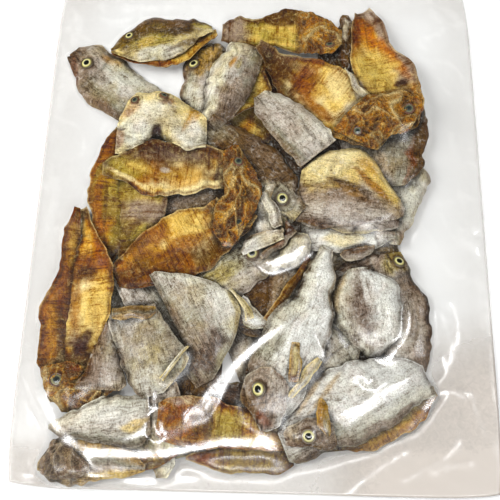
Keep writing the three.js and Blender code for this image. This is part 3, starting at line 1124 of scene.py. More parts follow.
PILE = [
    # Under the others, seen only in the gaps.
    ("scrap_1", [
        Half((31, -33), 37, 62, (4, 5, 9, 14, 18, 17, 8), (4, 6, 10, 14, 17, 17, 8), tone="dark",
             dome=1)]),
    ("scrap_2", [
        Half((60, -102), -55, 50, (3, 8, 15, 18, 16, 10, 3), (4, 10, 18, 18, 14, 8, 3), tone="slate",
             warm=0.1, dome=1)]),
    ("scrap_3", [
        Half((-58, -110), 92, 60, (8, 12, 13, 13, 11, 9, 4), (5, 9, 12, 12, 11, 8, 4), tone="silver",
             dome=1)]),
    ("scrap_4", [
        Half((-30, -100), -46, 95, (5, 12, 18, 20, 17, 12, 8), (5, 12, 18, 20, 17, 12, 8), tone="slate",
             dome=1)]),
    ("scrap_5", [
        Half((48, 11), 64, 95, (4, 12, 19, 21, 15, 8, 4), (4, 12, 19, 21, 15, 8, 4), tone="mauve",
             dome=1)]),
    ("scrap_6", [
        Half((61, 158), 89, 50, (2, 5, 7, 8, 8, 6, 3), (2, 6, 8, 9, 8, 7, 3), tone="dark",
             spots=(("white", 0.3, 0.2, 0.2, 0.4, 0.6),))]),

    # The left side, from the top down.
    ("fish_13", [
        Half((-98, 60), 88, 98, (4, 10, 15, 17, 14, 10, 3), (0, 3, 3, 6, 10, 12, 6), up="flesh",
             tone="moss", fold=-1, curl=(2.5, 0.5), head=0.1,
             marks=(("moss", -104, 17, 11, 8, 0, 0.7), ("olive", -98, -5, 15, 12, 0, 0.7),
                    ("orange", -106, -17, 10, 7, 60, 0.7), ("amber", -107, 44, 14, 9, 70, 0.85),
                    ("amber", -110, -2, 28, 3.5, 92, 0.85), ("umber", -104, -2, 24, 1.5, 92, 0.7),
                    ("honey", -100, 22, 12, 5, 10, 0.5)),
             spots=(("olive", 0.5, 0.1, 0.4, 0.9, 0.4), ("amber", 0.15, 0.7, 0.12, 1.4, 0.8),
                    ("moss", 0.38, -0.4, 0.13, 0.7, 0.6), ("amber", 0.5, 0.9, 0.4, 0.3, 0.9),
                    ("rust", 0.8, 0.6, 0.16, 0.4, 0.85), ("brown", 0.54, 0.8, 0.11, 0.3, 0.6))),
        Half((-90, 55), 92, 92, (4, 7, 9, 11, 11, 9, 5), (4, 10, 18, 26, 25, 12, 4), up="flesh",
             tone="moss", fold=1, curl=(0.5, 1.5), head=0.1,
             marks=(("olive", -94, 6, 10, 14, 0, 0.5), ("mauve", -76, -2, 17, 8, 0, 0.95),
                    ("umber", -84, -12, 8, 3, 30, 0.8)),
             spots=(("olive", 0.5, 0.5, 0.3, 0.6, 0.4), ("mauve", 0.62, -0.4, 0.09, 0.8, 0.95),
                    ("olive", 0.75, 0.7, 0.17, 0.5, 0.7), ("moss", 0.43, 0.5, 0.12, 0.4, 0.7),
                    ("amber", 0.2, 0, 0.12, 0.8, 0.8)))]),
    ("fish_2", [
        Half((-141, 119), 143, 110, (3, 10, 19, 19, 17, 12, 5), (9, 19, 20, 19, 18, 12, 5), tone="silver",
             fold=1, back=1, dome=3.5, head=0.24, eye=((0.153, 0.18, 5.0, 0),),
             marks=(("rust", -137, 107, 11, 3, 100, 0.5), ("umber", -133, 121, 8, 3, 20, 0.5),
                    ("lilac", -122, 112, 4, 5, 0, 0.6), ("mauve", -118, 100, 4, 13, 50, 0.6),
                    ("umber", -126, 96, 8, 4, -50, 0.5), ("grey", -104, 92, 26, 12, -37, 0.4),
                    ("white", -99, 90, 16, 4, -37, 0.4)),
             spots=(("umber", 0.02, 0.3, 0.06, 1.1, 0.7), ("mauve", 0.16, 0.4, 0.09, 0.6, 0.7),
                    ("honey", 0.25, -0.7, 0.07, 0.25, 0.6), ("silver", 0.5, -0.4, 0.2, 0.45, 0.6),
                    ("brown", 0.53, 0.85, 0.2, 0.2, 0.6)))]),
    ("fish_4", [
        Half((-36, 131), 87, 78, (4, 14, 20, 21, 18, 10, 4), (4, 9, 12, 14, 14, 13, 5), tone="silver",
             fold=1, back=1, dome=3, head=0.32, eye=((0.26, 0.5, 4.6, 0),),
             spots=(("tan", 0.12, 0.3, 0.18, 0.8, 0.9), ("silver", 0.6, 0.6, 0.16, 0.5, 0.6),
                    ("tan", 0.16, -0.1, 0.2, 1.0, 0.8), ("brown", 0.3, 0.95, 0.2, 0.12, 0.6)))]),
    ("fish_1_far", [
        Half((-110, 120), -165, 78, (3, 9, 15, 20, 21, 10, 3), (2, 3, 4, 5, 5, 3, 3), up="flesh",
             tone="honey", fold=-1, dome=0, curl=(1.5, 0),
             spots=(("gold", 0.7, 0.7, 0.18, 0.5, 0.8), ("gold", 0.95, 0, 0.08, 1.4, 0.7)))]),
    ("fish_1", [
        Half((-111, 122), -166, 76, (3, 10, 15, 16, 14, 6, 1), (3, 10, 17, 22, 19, 13, 5), tone="olive",
             fold=-1, back=-1, dome=4, crimp=0.7, head=0.24, eye=((0.2, -0.4, 3.8, 0),),
             marks=(("umber", -73, 135, 27, 6, 8, 0.85), ("dark", -68, 135, 20, 3, 8, 0.45),
                    ("moss", -80, 125, 15, 7, 5, 0.95), ("gold", -84, 126, 8, 4, 20, 0.6),
                    ("silver", -76, 118, 22, 5, 10, 0.9), ("olive", -98, 128, 9, 6, 30, 0.6),
                    ("cream", -47, 133, 11, 2, 35, 0.85), ("brown", -56, 127, 14, 2, 25, 0.7)),
             spots=(("umber", 0.55, -0.6, 0.4, 0.5, 0.8), ("olive", 0.16, -0.2, 0.12, 0.8, 0.8),
                    ("moss", 0.48, 0.05, 0.12, 0.35, 0.9), ("brown", 0.7, -0.2, 0.16, 0.5, 0.6),
                    ("cream", 0.35, 0.85, 0.26, 0.3, 0.9), ("cream", 0.06, 0.5, 0.05, 0.4, 0.8)))]),

    # The right side and its top.
    ("fish_11_below", [
        Half((104, 40), 78, 62, (8, 20, 32, 34, 30, 22, 4), (4, 12, 14, 13, 10, 5, 2), tone="silver",
             back=-1, dome=1.5, curl=(0, 1.5),
             marks=(("silver", 104, 14, 22, 13, 75, 0.9),),
             spots=(("lilac", 0.5, 0, 0.4, 0.9, 0.8), ("brown", 0.3, -0.9, 0.2, 0.2, 0.5)))]),
    ("fish_11", [
        Half((100, 92), 86, 72, (8, 20, 34, 44, 42, 30, 10), (4, 12, 17, 18, 16, 13, 3), tone="slate",
             back=-1, dome=2, curl=(0, 2.5), head=0.1,
             spots=(("umber", 0.5, 0.1, 0.3, 0.8, 0.35), ("silver", 0.68, 0.4, 0.06, 0.5, 0.6),
                    ("umber", 0.6, -0.85, 0.35, 0.2, 0.9), ("rust", 0.72, -0.65, 0.2, 0.1, 0.6),
                    ("tan", 0.8, 0.1, 0.14, 0.4, 0.4)))]),
    ("fish_29", [
        Half((90, -14), 2, 62, (2, 7, 9, 9, 9, 10, 8), (4, 5, 9, 10, 12, 12, 7), warm=0.12, tone="pearl",
             dome=2, head=0.2,
             spots=(("mauve", 0.1, 0.5, 0.12, 0.6, 0.8), ("cream", 0.6, -0.2, 0.2, 0.6, 0.7)))]),
    ("fish_6", [
        Half((57, 132), -3, 88, (10, 17, 25, 28, 18, 16, 8), (4, 13, 13, 11, 8, 9, 7), up="flesh",
             tone="moss", dome=0, curl=(1.5, 2), head=0.34, crumple=0.9, eye=((0.1, -0.4, 3.8, 1),),
             marks=(("maroon", 40, 125, 7, 4, 0, 0.85), ("brown", 9, 151, 18, 5, -10, 0.85),
                    ("mauve", -22, 139, 12, 9, 0, 0.85), ("cream", 34, 136, 5, 3, 20, 0.6),
                    ("moss", 8, 138, 16, 7, 0, 0.85), ("gold", 12, 138, 9, 4, 0, 0.5)),
             spots=(("mauve", 0.9, 0.2, 0.09, 1.0, 0.95), ("gold", 0.58, -0.4, 0.2, 0.35, 0.9),
                    ("brown", 0.42, 0.7, 0.25, 0.35, 0.9), ("amber", 0.2, 0.3, 0.12, 0.6, 0.7),
                    ("rust", 0.2, -0.5, 0.09, 0.3, 0.6)))]),
    ("fish_5_far", [
        Half((-6, 128), 69, 70, (5, 7, 10, 13, 12, 10, 4), (5, 10, 16, 24, 20, 10, 3), up="flesh",
             tone="moss", fold=1, dome=0, curl=(0, 2),
             spots=(("gold", 0.5, -0.6, 0.25, 0.25, 0.7), ("brown", 0.3, -1, 0.15, 0.2, 0.6)))]),
    ("fish_5", [
        Half((-15, 128), 75, 70, (9, 12, 15, 17, 15, 11, 8), (12, 17, 18, 17, 15, 11, 5), tone="silver",
             fold=1, back=-1, dome=5, head=NO_HEAD,
             spots=(("white", 0.43, 0.7, 0.23, 0.4, 0.7), ("mauve", 0.64, -0.5, 0.29, 0.6, 0.85),
                    ("honey", 0.26, 0.15, 0.11, 0.12, 0.8), ("moss", 0.31, -0.15, 0.1, 0.15, 0.6),
                    ("brown", 0.87, -0.4, 0.1, 0.8, 0.6)))]),
    ("fish_10_skin", [
        Half((26, 5), 170, 68, (8, 12, 14, 14, 11, 9, 2), (14, 16, 17, 17, 11, 7, 2), warm=0.12,
             tone="mauve", fold=-1, back=-1, dome=5, head=NO_HEAD,
             # The white spot is a painted highlight.
             spots=(("mauve", 0.18, 0, 0.18, 0.6, 0.6), ("white", 0.47, 0.05, 0.2, 0.35, 0.9),
                    ("maroon", 0.65, -1, 0.27, 0.25, 0.7), ("brown", 0.88, 0.1, 0.14, 0.8, 0.5),
                    ("cream", 0.54, 0.95, 0.34, 0.12, 0.7)))]),
    ("fish_10", [
        Half((25, 12), 171, 72, (18, 19, 20, 18, 15, 8, 2), (20, 28, 37, 42, 34, 17, 3), warm=0.2,
             tone="mauve", back=1, dome=4, curl=(0, 1), head=NO_HEAD,
             marks=(("lilac", 56, -2, 38, 8, -6, 0.75), ("mauve", 38, 9, 14, 6, -8, 0.5),
                    ("gold", 48, 35, 32, 17, 0, 1.0), ("gold", 80, 19, 20, 9, -55, 0.95),
                    ("cream", 48, 36, 28, 14, 10, 1.0), ("honey", 72, 33, 9, 5, -40, 0.6),
                    ("amber", 75, 17, 18, 2.5, -46, 0.7), ("umber", 58, 17, 15, 2.5, -22, 0.8),
                    ("brown", 37, 18, 12, 1.5, 0, 0.6), ("honey", 60, 12, 12, 3, -30, 0.4),
                    ("cream", 83, 22, 14, 2, -57, 0.6), ("mauve", 80, 3, 12, 5, -20, 0.7)))]),
    ("fish_14", [
        Half((21, -8), -45, 92, (12, 18, 27, 31, 29, 22, 14), (6, 8, 10, 9, 8, 8, 7), tone="dark",
             back=-1, dome=4, head=0.24, crimp=0.7, eye=((0.18, 0.05, 4.9, 0),),
             marks=(("mauve", -5, 42, 34, 14, -45, 0.3), ("silver", 15, 6, 14, 10, -45, 0.8),
                    ("grey", 14, 2, 16, 13, -45, 0.8), ("cream", 20, -8, 9, 7, -45, 0.5)),
             spots=(("white", 0.29, -0.45, 0.13, 0.35, 0.95), ("white", 0.08, -0.7, 0.09, 0.5, 0.9),
                    ("olive", 0.1, 0.15, 0.12, 0.5, 0.6), ("grey", 0.9, 0, 0.11, 0.7, 0.6))),
        Half((22, -19), 26, 70, (9, 19, 23, 18, 14, 10, 5), (9, 14, 17, 18, 20, 14, 5), tone="slate",
             back=1, dome=3, head=0.42, crimp=0.8, eye=((0.41, 0.02, 4.6, 0.3),),
             marks=(("silver", 6, -24, 14, 9, 28, 0.8), ("grey", -12, -34, 12, 8, 28, 0.6),
                    ("white", 17, -31, 13, 5, 22, 1.0), ("moss", -22, -42, 12, 5, 26, 0.4)),
             spots=(("white", 0.2, 0.4, 0.2, 0.6, 0.95), ("lilac", 0.63, -0.1, 0.18, 0.5, 0.5),
                    ("moss", 0.84, -0.2, 0.18, 0.5, 0.7), ("rust", 0, 0.1, 0.06, 0.5, 0.7)))]),
    ("fish_14_throat", [
        Half((21, -13), 77, 27, (3, 3, 3, 3, 5, 7, 8), (10, 12, 14, 14, 12, 10, 4), tone="pearl", dome=3,
             **FLAP,
             spots=(("white", 0.7, -0.1, 0.4, 0.8, 1.0), ("mauve", 0.1, 0.2, 0.12, 0.8, 0.8)))]),
    ("fish_14_lip", [
        Half((22, -12), 43, 30, (5, 4, 2, 1, 1, 1, 0), (4, 4, 4, 5, 4, 4, 2), tone="mauve", dome=1.5,
             **FLAP, crimp=0.9,
             spots=(("maroon", 0.12, 0, 0.15, 0.8, 0.9), ("rust", 0.5, -0.2, 0.2, 0.6, 0.6)))]),
    ("fish_14_jaw", [
        Half((12, -19), -80, 37, (3, 4, 3, 0, -1, 2, 5), (9, 13, 16, 17, 14, 9, 2), tone="silver",
             dome=0.9, **FLAP, crimp=1.3,
             spots=(("white", 0.5, 0, 0.7, 1.2, 0.8), ("grey", 0.4, 0.3, 0.2, 0.3, 0.6),
                    ("moss", 0.75, -0.5, 0.2, 0.5, 0.4)))]),
    ("fish_14_cheek", [
        Half((13, -12), -64, 26, (2, 3, 4, 5, 5, 5, 3), (3, 4, 4, 4, 4, 4, 2), tone="silver", dome=0.6,
             **FLAP,
             spots=(("white", 0.5, 0, 0.6, 1.2, 0.8),))]),
    ("fish_14_chin", [
        Half((16, -20), 22, 29, (3, 6, 8, 9, 9, 7, 3), (1, 1, 1, 1, 1, 1, 1), tone="silver", dome=0.8,
             **FLAP, crimp=1.2,
             spots=(("white", 0.5, 0, 0.6, 1.2, 0.8),))]),
    ("fish_7", [
        Half((86, 53), -39, 116, (7, 15, 20, 24, 18, 7, 3), (11, 15, 22, 23, 20, 10, 3), up="flesh",
             tone="gold", dome=0, curl=(3, 1), head=0.24, crumple=1,
             marks=(("brown", 10, 112, 19, 14, -50, 0.85), ("rust", 31, 101, 8, 14, -20, 0.75),
                    ("amber", 35, 92, 8, 14, -20, 0.7), ("rust", 38, 116, 14, 4, -18, 0.75),
                    ("gold", 53, 95, 18, 13, 80, 1.0), ("cream", 54, 96, 12, 8, 80, 0.6),
                    ("amber", 41, 75, 12, 5, -45, 0.8), ("white", 65, 101, 13, 2.5, 100, 0.8)),
             spots=(("cream", 0.42, 0.1, 0.15, 0.8, 0.9), ("gold", 0.54, 0.6, 0.09, 0.3, 0.7),
                    ("amber", 0.66, -0.1, 0.15, 0.5, 0.85), ("maroon", 0.66, -0.8, 0.2, 0.4, 0.8),
                    ("brown", 0.86, 0, 0.16, 1.2, 0.85), ("mauve", 0.97, -0.4, 0.05, 1.3, 0.6),
                    ("brown", 0.46, -0.85, 0.15, 0.2, 0.8), ("lilac", 0.31, 0.35, 0.04, 0.4, 0.7))),
        Half((98, 59), -76, 104, (8, 15, 20, 23, 13, 10, 5), (4, 8, 12, 22, 19, 14, 7), up="flesh",
             tone="gold", dome=0, curl=(3, 1.5), head=0.3, crumple=1,
             marks=(("rust", 68, 141, 18, 6, 98, 0.85), ("orange", 76, 139, 15, 5, 100, 0.7),
                    ("mauve", 98, 128, 30, 10, -57, 0.95), ("orange", 89, 124, 20, 4, -54, 0.75),
                    ("gold", 80, 111, 20, 13, -50, 1.0), ("moss", 79, 109, 15, 10, -50, 0.4),
                    ("maroon", 99, 98, 5, 4, 0, 0.95), ("lilac", 78, 158, 8, 5, 0, 0.6)),
             spots=(("gold", 0.44, -0.4, 0.16, 0.5, 0.9), ("amber", 0.77, -0.7, 0.15, 0.4, 0.9),
                    ("mauve", 0.64, 0.7, 0.35, 0.35, 0.95), ("maroon", 0.33, 0.1, 0.05, 0.25, 0.95),
                    ("cream", 0.88, -0.9, 0.12, 0.15, 0.6), ("white", 0.39, -1.1, 0.1, 0.2, 0.8)))]),
    ("fish_7_spine", [
        Half((58, 108), 127, 29, (0, 1, 2, 4, 5, 5, 4), (1, 1, 2, 1, 0, 1, 1), tone="shell", dome=1.5,
             **FLAP, crimp=1.0,
             spots=(("white", 0.7, 0, 0.3, 0.9, 0.9), ("rust", 0.3, -0.8, 0.2, 0.4, 0.6)))]),
    ("fish_7_head", [
        Half((111, 80), 19, 65, (9, 14, 15, 15, 14, 8, 1), (4, 9, 16, 17, 21, 12, 1), up="flesh",
             tone="honey", dome=2, head=ALL_HEAD, crumple=1, follow=0.8,
             eye=((0.17, -0.2, 4.2, 1), (0.79, -0.37, 3.2, 1)),
             spots=(("orange", 0.5, 0, 0.6, 1.2, 0.8), ("maroon", 0.28, 0.8, 0.1, 0.3, 0.8)))]),
    ("fish_9", [
        Half((38, 41), -49, 60, (19, 19, 18, 17, 15, 12, 5), (14, 14, 15, 15, 14, 11, 6), warm=0.12,
             tone="silver", back=-1, dome=2.5, curl=(0.5, 1.5), head=NO_HEAD, crimp=0.2,
             spots=(("lilac", 0.5, 0, 0.6, 1.2, 0.7), ("white", 0.16, 0.3, 0.14, 0.6, 0.5),
                    ("mauve", 0.55, 0.2, 0.3, 0.6, 0.4), ("mauve", 0.8, -0.5, 0.2, 0.5, 0.5),
                    ("olive", 0.3, -0.9, 0.3, 0.2, 0.5)))]),
    ("fish_12", [
        Half((-3, 21), -3, 105, (5, 12, 19, 23, 25, 15, 4), (4, 4, 6, 12, 17, 8, 3), up="flesh",
             tone="gold", dome=0.5, curl=(2, 1), head=0.2, crumple=1,
             marks=(("moss", -90, 30, 16, 9, -15, 0.85), ("gold", -84, 31, 9, 5, -15, 0.6),
                    ("rust", -70, 32, 10, 6, -20, 0.65), ("honey", -52, 25, 16, 9, 10, 0.7),
                    ("olive", -56, 27, 18, 6, 8, 0.35), ("brown", -61, 41, 38, 9, 0, 0.85),
                    ("maroon", -64, 45, 26, 6, 0, 0.6), ("mauve", -62, 38, 26, 3, 0, 0.35),
                    ("cream", -54, 12, 15, 2.5, 12, 0.7), ("lilac", -65, 28, 3, 2, 0, 0.7),
                    ("cream", -90, 21, 20, 1.5, -29, 0.8), ("brown", -36, 27, 4, 9, 0, 0.6)),
             spots=(("brown", 0.6, 0.75, 0.36, 0.45, 0.95), ("amber", 0.76, 0, 0.16, 0.6, 0.85),
                    ("cream", 0.39, -0.1, 0.16, 0.7, 0.8), ("moss", 0.88, 0.3, 0.09, 0.6, 0.5),
                    ("maroon", 0.23, -0.2, 0.035, 0.9, 1), ("cream", 0.35, -0.85, 0.2, 0.2, 0.7),
                    # The small white spot is a painted highlight.
                    ("white", 0.16, 0.65, 0.03, 0.15, 0.8))),
        Half((-5, 1), 29, 101, (12, 18, 17, 22, 20, 14, 5), (6, 11, 19, 23, 21, 16, 8), up="flesh",
             tone="gold", dome=0.5, curl=(1, 1), head=0.22, crumple=1,
             marks=(("honey", -58, -11, 16, 10, 25, 0.7), ("amber", -76, -19, 16, 10, 25, 0.85),
                    ("umber", -84, -26, 12, 5, 25, 0.6), ("umber", -52, -28, 20, 5, 30, 0.5),
                    ("gold", -46, -7, 14, 9, 20, 0.7), ("cream", -46, 3, 17, 2, 12, 0.7),
                    ("amber", -50, -24, 14, 6, 30, 0.7), ("rust", -31, -14, 5, 14, 20, 0.5)),
             spots=(("gold", 0.48, 0.45, 0.2, 0.45, 0.8), ("umber", 0.5, -0.55, 0.3, 0.45, 0.9),
                    ("amber", 0.72, -0.3, 0.25, 0.8, 0.8), ("honey", 0.77, 0.6, 0.14, 0.6, 0.8),
                    ("brown", 0.88, -0.2, 0.14, 0.6, 0.7), ("maroon", 0.23, 0.1, 0.04, 0.9, 0.9),
                    ("cream", 0.45, 0.95, 0.2, 0.12, 0.7)))]),
    ("fish_12_head", [
        Half((-17, 45), 89, 71, (4, 10, 8, 8, 12, 11, 5), (1, 5, 13, 18, 15, 7, 1), up="flesh",
             tone="honey", dome=2, head=ALL_HEAD, crumple=1, follow=0.8,
             eye=((0.2, -0.1, 3.6, 1), (0.77, -0.5, 3.6, 1)),
             spots=(("honey", 0.3, -0.7, 0.3, 0.3, 0.6), ("maroon", 0.5, 0.7, 0.25, 0.3, 0.9),
                    ("lilac", 0.13, 0.2, 0.03, 0.25, 0.9)))]),
    ("fish_3", [
        Half((-100, 58), 180, 62, (19, 18, 15, 3, 12, 17, 14), (7, 22, 28, 30, 26, 17, 7), tone="shell",
             dome=3, crimp=1.0, curl=(0.5, 0.5), head=NO_HEAD, fold=0, warm=0.35,
             eye=((0.17, -0.67, 3.2, 1), (0.5, -0.74, 3.2, 1)),
             marks=(("honey", -91, 71, 7, 5, 30, 0.8), ("rust", -92, 69, 3, 3, 0, 0.6),
                    ("rust", -66, 78, 5, 3, 20, 0.7), ("amber", -99, 50, 4, 7, 0, 0.6),
                    ("honey", -47, 69, 9, 4, 80, 0.85), ("amber", -52, 62, 7, 1.5, 70, 0.6),
                    # These two white marks are painted highlights on its golden lobes.
                    ("white", -46, 58, 9, 4, 95, 0.8), ("white", -78, 66, 18, 10, 0, 0.5),
                    ("moss", -63, 58, 12, 7, 0, 0.2), ("gold", -58, 66, 14, 8, 30, 0.3),
                    ("maroon", -73, 55, 5, 4, 90, 1.0), ("dark", -73, 53, 3, 3, 0, 0.7)))]),

    # The lower left.
    ("fish_16", [
        Half((-120, -127), -89, 127, (5, 1, 0, 0, 0, 2, 1), (6, 13, 18, 18, 10, 8, 2), up="flesh",
             tone="honey", fold=1, dome=1, curl=(0, 3), head=0.2, crumple=0.6,
             marks=(("honey", -132, -82, 20, 3, 92, 0.5), ("rust", -126, -60, 26, 5, 92, 0.5),
                    ("brown", -126, -88, 26, 2, 92, 0.85)),
             spots=(("amber", 0.45, -0.3, 0.45, 0.9, 0.85), ("umber", 0.35, 0.6, 0.35, 0.5, 0.8),
                    ("gold", 0.86, 0.3, 0.1, 0.9, 0.6), ("maroon", 0.4, 0.9, 0.3, 0.25, 0.8))),
        Half((-105, -130), -84, 131, (5, 20, 11, 18, 19, 10, 2), (9, 14, 17, 15, 12, 5, 3), up="flesh",
             tone="gold", fold=-1, dome=0.5, curl=(2, 0), head=0.2, crumple=0.6,
             marks=(("rust", -110, -38, 14, 9, 0, 0.6), ("brown", -113, -44, 7, 5, 0, 0.85),
                    ("gold", -104, -66, 19, 9, 85, 0.9), ("tan", -103, -72, 11, 6, 82, 0.35),
                    ("maroon", -111, -89, 10, 4, 60, 0.9), ("maroon", -120, -104, 11, 8, 20, 0.85),
                    ("amber", -119, -62, 16, 4, 95, 0.7)),
             spots=(("gold", 0.88, -0.2, 0.12, 0.8, 0.8), ("amber", 0.78, 0.9, 0.1, 0.6, 0.9),
                    ("umber", 0.66, -0.3, 0.07, 0.6, 0.75), ("gold", 0.47, 0.2, 0.17, 0.8, 0.8),
                    ("cream", 0.45, 0.4, 0.1, 0.4, 0.7), ("maroon", 0.27, -0.2, 0.09, 0.8, 0.95),
                    ("maroon", 0.55, -1, 0.4, 0.25, 0.85), ("mauve", 0.34, -0.2, 0.04, 0.7, 0.6),
                    ("orange", 0.76, 0.2, 0.14, 1.2, 0.3), ("umber", 0.6, 0.9, 0.3, 0.2, 0.5)))]),
    ("fish_16_head", [
        Half((-120, -133), -91, 31, (9, 16, 23, 25, 13, 13, 2), (1, 3, 8, 13, 16, 17, 2), up="flesh",
             tone="honey", dome=2, head=ALL_HEAD, crumple=0.8, follow=0.8, eye=((0.62, -0.35, 4.6, 0.8),),
             spots=(("brown", 0.8, 0.3, 0.25, 0.8, 0.7), ("cream", 0.35, 0.8, 0.2, 0.3, 0.5),
                    ("rust", 0.75, -0.7, 0.2, 0.4, 0.6)))]),
    ("fish_18", [
        Half((-96, -119), -92, 42, (12, 14, 12, 9, 6, 4, 2), (15, 14, 11, 8, 5, 3, 2), tone="mauve",
             back=-1, dome=2, head=NO_HEAD)]),
    ("scrap_8", [
        Half((-75, -165), -161, 30, (1, 3, 4, 5, 4, 2, 1), (1, 3, 4, 5, 4, 2, 1), up="flesh",
             tone="honey", dome=1, head=NO_HEAD,
             spots=(("dark", 0.5, 0.2, 0.5, 0.8, 0.8),))]),
    ("fish_23", [
        Half((-42, -158), -179, 66, (1, 3, 6, 8, 9, 9, 4), (1, 4, 7, 9, 10, 11, 8), up="flesh",
             tone="moss", dome=1, head=NO_HEAD, curl=(1, 0),
             spots=(("olive", 0.6, 0, 0.4, 1.2, 0.9), ("rust", 0.13, 0.2, 0.17, 1.2, 0.8)))]),
    ("fish_21", [
        Half((-132, -165), 180, 66, (3, 8, 10, 9, 6, 4, 1), (2, 13, 20, 22, 19, 12, 4), tone="tan",
             dome=3, warm=0.2, crimp=0.8, head=0.35,
             spots=(("dark", 0.22, 0.3, 0.15, 0.9, 0.85), ("tan", 0.53, -0.5, 0.22, 0.4, 0.6),
                    ("gold", 0.76, 0.8, 0.27, 0.35, 0.9)))]),
    ("fish_21_head", [
        Half((-130, -168), -174, 31, (1, 3, 4, 5, 5, 4, 2), (5, 9, 18, 18, 13, 7, 2), up="flesh",
             tone="tan", dome=2.5, head=ALL_HEAD, crumple=0.8, follow=0.8, warm=0.12,
             spots=(("tan", 0.6, -0.4, 0.4, 0.6, 0.8), ("brown", 0.3, 0.2, 0.3, 0.8, 0.7)))]),
    ("fish_20", [
        Half((-65, -133), 8, 64, (12, 13, 14, 14, 11, 7, 1), (11, 17, 17, 15, 12, 7, 1), warm=0.12,
             tone="silver", back=-1, dome=4, head=NO_HEAD,
             spots=(("white", 0.34, 0.2, 0.3, 0.45, 0.7), ("gold", 0.1, -0.2, 0.12, 0.2, 0.7),
                    ("grey", 0.48, -0.8, 0.39, 0.2, 0.8), ("tan", 0.83, 0.2, 0.12, 0.9, 0.2)))]),
    ("fish_22", [
        Half((-60, -138), 176, 96, (8, 12, 12, 11, 10, 9, 5), (10, 18, 19, 15, 12, 10, 5), up="flesh",
             tone="honey", dome=2, head=0.28, crumple=0.4,
             spots=(("rust", 0.11, 0.1, 0.11, 0.7, 0.7), ("maroon", 0.3, 0, 0.09, 0.8, 0.95),
                    ("moss", 0.48, 0.1, 0.12, 0.8, 0.85), ("olive", 0.5, 0, 0.2, 1.0, 0.3),
                    ("tan", 0.72, -0.1, 0.13, 0.9, 0.8), ("lilac", 0.12, -0.9, 0.1, 0.35, 0.9)))]),
    ("fish_19_fin", [
        Half((-14, -65), 148, 24, (2, 2, 3, 6, 6, 3, 1), (8, 8, 7, 5, 4, 3, 1), tone="pearl", dome=1,
             head=NO_HEAD)]),
    ("fish_19", [
        Half((-31, -113), -60, 78, (6, 16, 33, 40, 34, 20, 3), (8, 8, 3, 1, 1, 1, 1), tone="silver",
             fold=-1, back=-1, dome=4, curl=(1.5, 0), head=NO_HEAD,
             spots=(("grey", 0.5, 0, 0.5, 1.0, 0.3), ("lilac", 0.69, -0.1, 0.18, 0.6, 0.6),
                    ("white", 0.46, 0.5, 0.18, 0.45, 0.5), ("brown", 0.15, -0.1, 0.16, 0.8, 0.9),
                    ("cream", 0.4, 0.95, 0.2, 0.1, 0.9), ("mauve", 0.33, -0.4, 0.12, 0.5, 0.6)))]),
    ("fish_17", [
        Half((-79, -68), 106, 56, (17, 17, 16, 16, 14, 13, 6), (12, 15, 18, 23, 27, 19, 8), tone="silver",
             back=1, dome=4.5, curl=(0.5, 2), head=NO_HEAD,
             spots=(("tan", 0.05, 0.2, 0.07, 1.1, 0.8), ("mauve", 0.31, -0.2, 0.14, 0.6, 0.5),
                    ("grey", 0.5, 0, 0.5, 1.2, 0.75), ("mauve", 0.35, 0, 0.4, 1.2, 0.45),
                    ("white", 0.82, 0.4, 0.17, 0.9, 0.4), ("moss", 0.6, 0.1, 0.14, 0.5, 0.4),
                    ("cream", 0.8, -0.95, 0.19, 0.15, 0.9), ("white", 0.23, 1, 0.25, 0.2, 0.6)))]),
    ("fish_17_top", [
        Half((-93, -70), -173, 28, (4, 5, 6, 5, 6, 7, 5), (2, 2, 2, 2, 2, 1, 0), tone="tan", dome=1.5,
             **FLAP, crimp=0.8,
             spots=(("brown", 0.5, -0.3, 0.5, 0.5, 0.5), ("tan", 0.5, 0.5, 0.5, 0.5, 0.6)))]),
    ("fish_17_rim", [
        Half((-43, -91), 53, 26, (0, 1, 1, 1, 1, 1, 1), (1, 1, 1, 2, 2, 2, 2), tone="shell", dome=1.5,
             **FLAP)]),
    ("fish_19_rim", [
        Half((-17, -54), 114, 23, (2, 1, 0, -1, -2, -1, 0), (0, 1, 3, 5, 6, 7, 6), tone="shell", dome=1,
             **FLAP,
             spots=(("cream", 0.5, 0, 0.6, 0.9, 0.8),))]),

    # The lower right.
    ("fish_28", [
        Half((84, -27), 101, 79, (5, 10, 12, 14, 15, 13, 5), (9, 12, 15, 20, 18, 14, 8), warm=0.12,
             tone="mauve", back=-1, dome=3, head=0.2, eye=((0.09, -0.4, 4.6, 0),),
             spots=(("moss", 0.07, -0.2, 0.1, 0.9, 0.7), ("dark", 0.38, -1, 0.3, 0.15, 0.9),
                    ("brown", 0.78, -0.4, 0.2, 0.3, 0.5), ("silver", 0.6, 0.0, 0.3, 0.7, 0.2)))]),
    ("fish_28_lip", [
        Half((76, -23), 14, 24, (1, 1, 2, 2, 2, 2, 0), (1, 3, 4, 5, 5, 4, 1), tone="mauve", dome=0.8,
             **FLAP, crimp=0.9,
             spots=(("brown", 0.4, 0.3, 0.3, 0.5, 0.7),))]),
    ("fish_27", [
        Half((65, -38), 98, 57, (7, 14, 20, 22, 20, 13, 5), (6, 13, 22, 23, 21, 17, 6), warm=0.12,
             tone="pearl", back=1, dome=6, head=NO_HEAD,
             spots=(("umber", 0.5, 0.28, 0.42, 0.42, 0.6), ("brown", 0.52, 0.2, 0.3, 0.2, 0.55),
                    ("ice", 0.4, -0.5, 0.3, 0.4, 0.8), ("tan", 0.23, 0.9, 0.19, 0.2, 0.6),
                    ("mauve", 0.89, 0.1, 0.08, 0.7, 0.5)))]),
    ("fish_25_far", [
        Half((27, -153), -155, 94, (3, 5, 10, 17, 17, 14, 4), (2, 3, 5, 7, 8, 5, 2), up="flesh",
             tone="moss", fold=-1, dome=0, head=NO_HEAD,
             spots=(("honey", 0.6, 0.7, 0.4, 0.4, 0.6), ("amber", 0.8, 0.9, 0.15, 0.4, 0.6)))]),
    ("fish_25", [
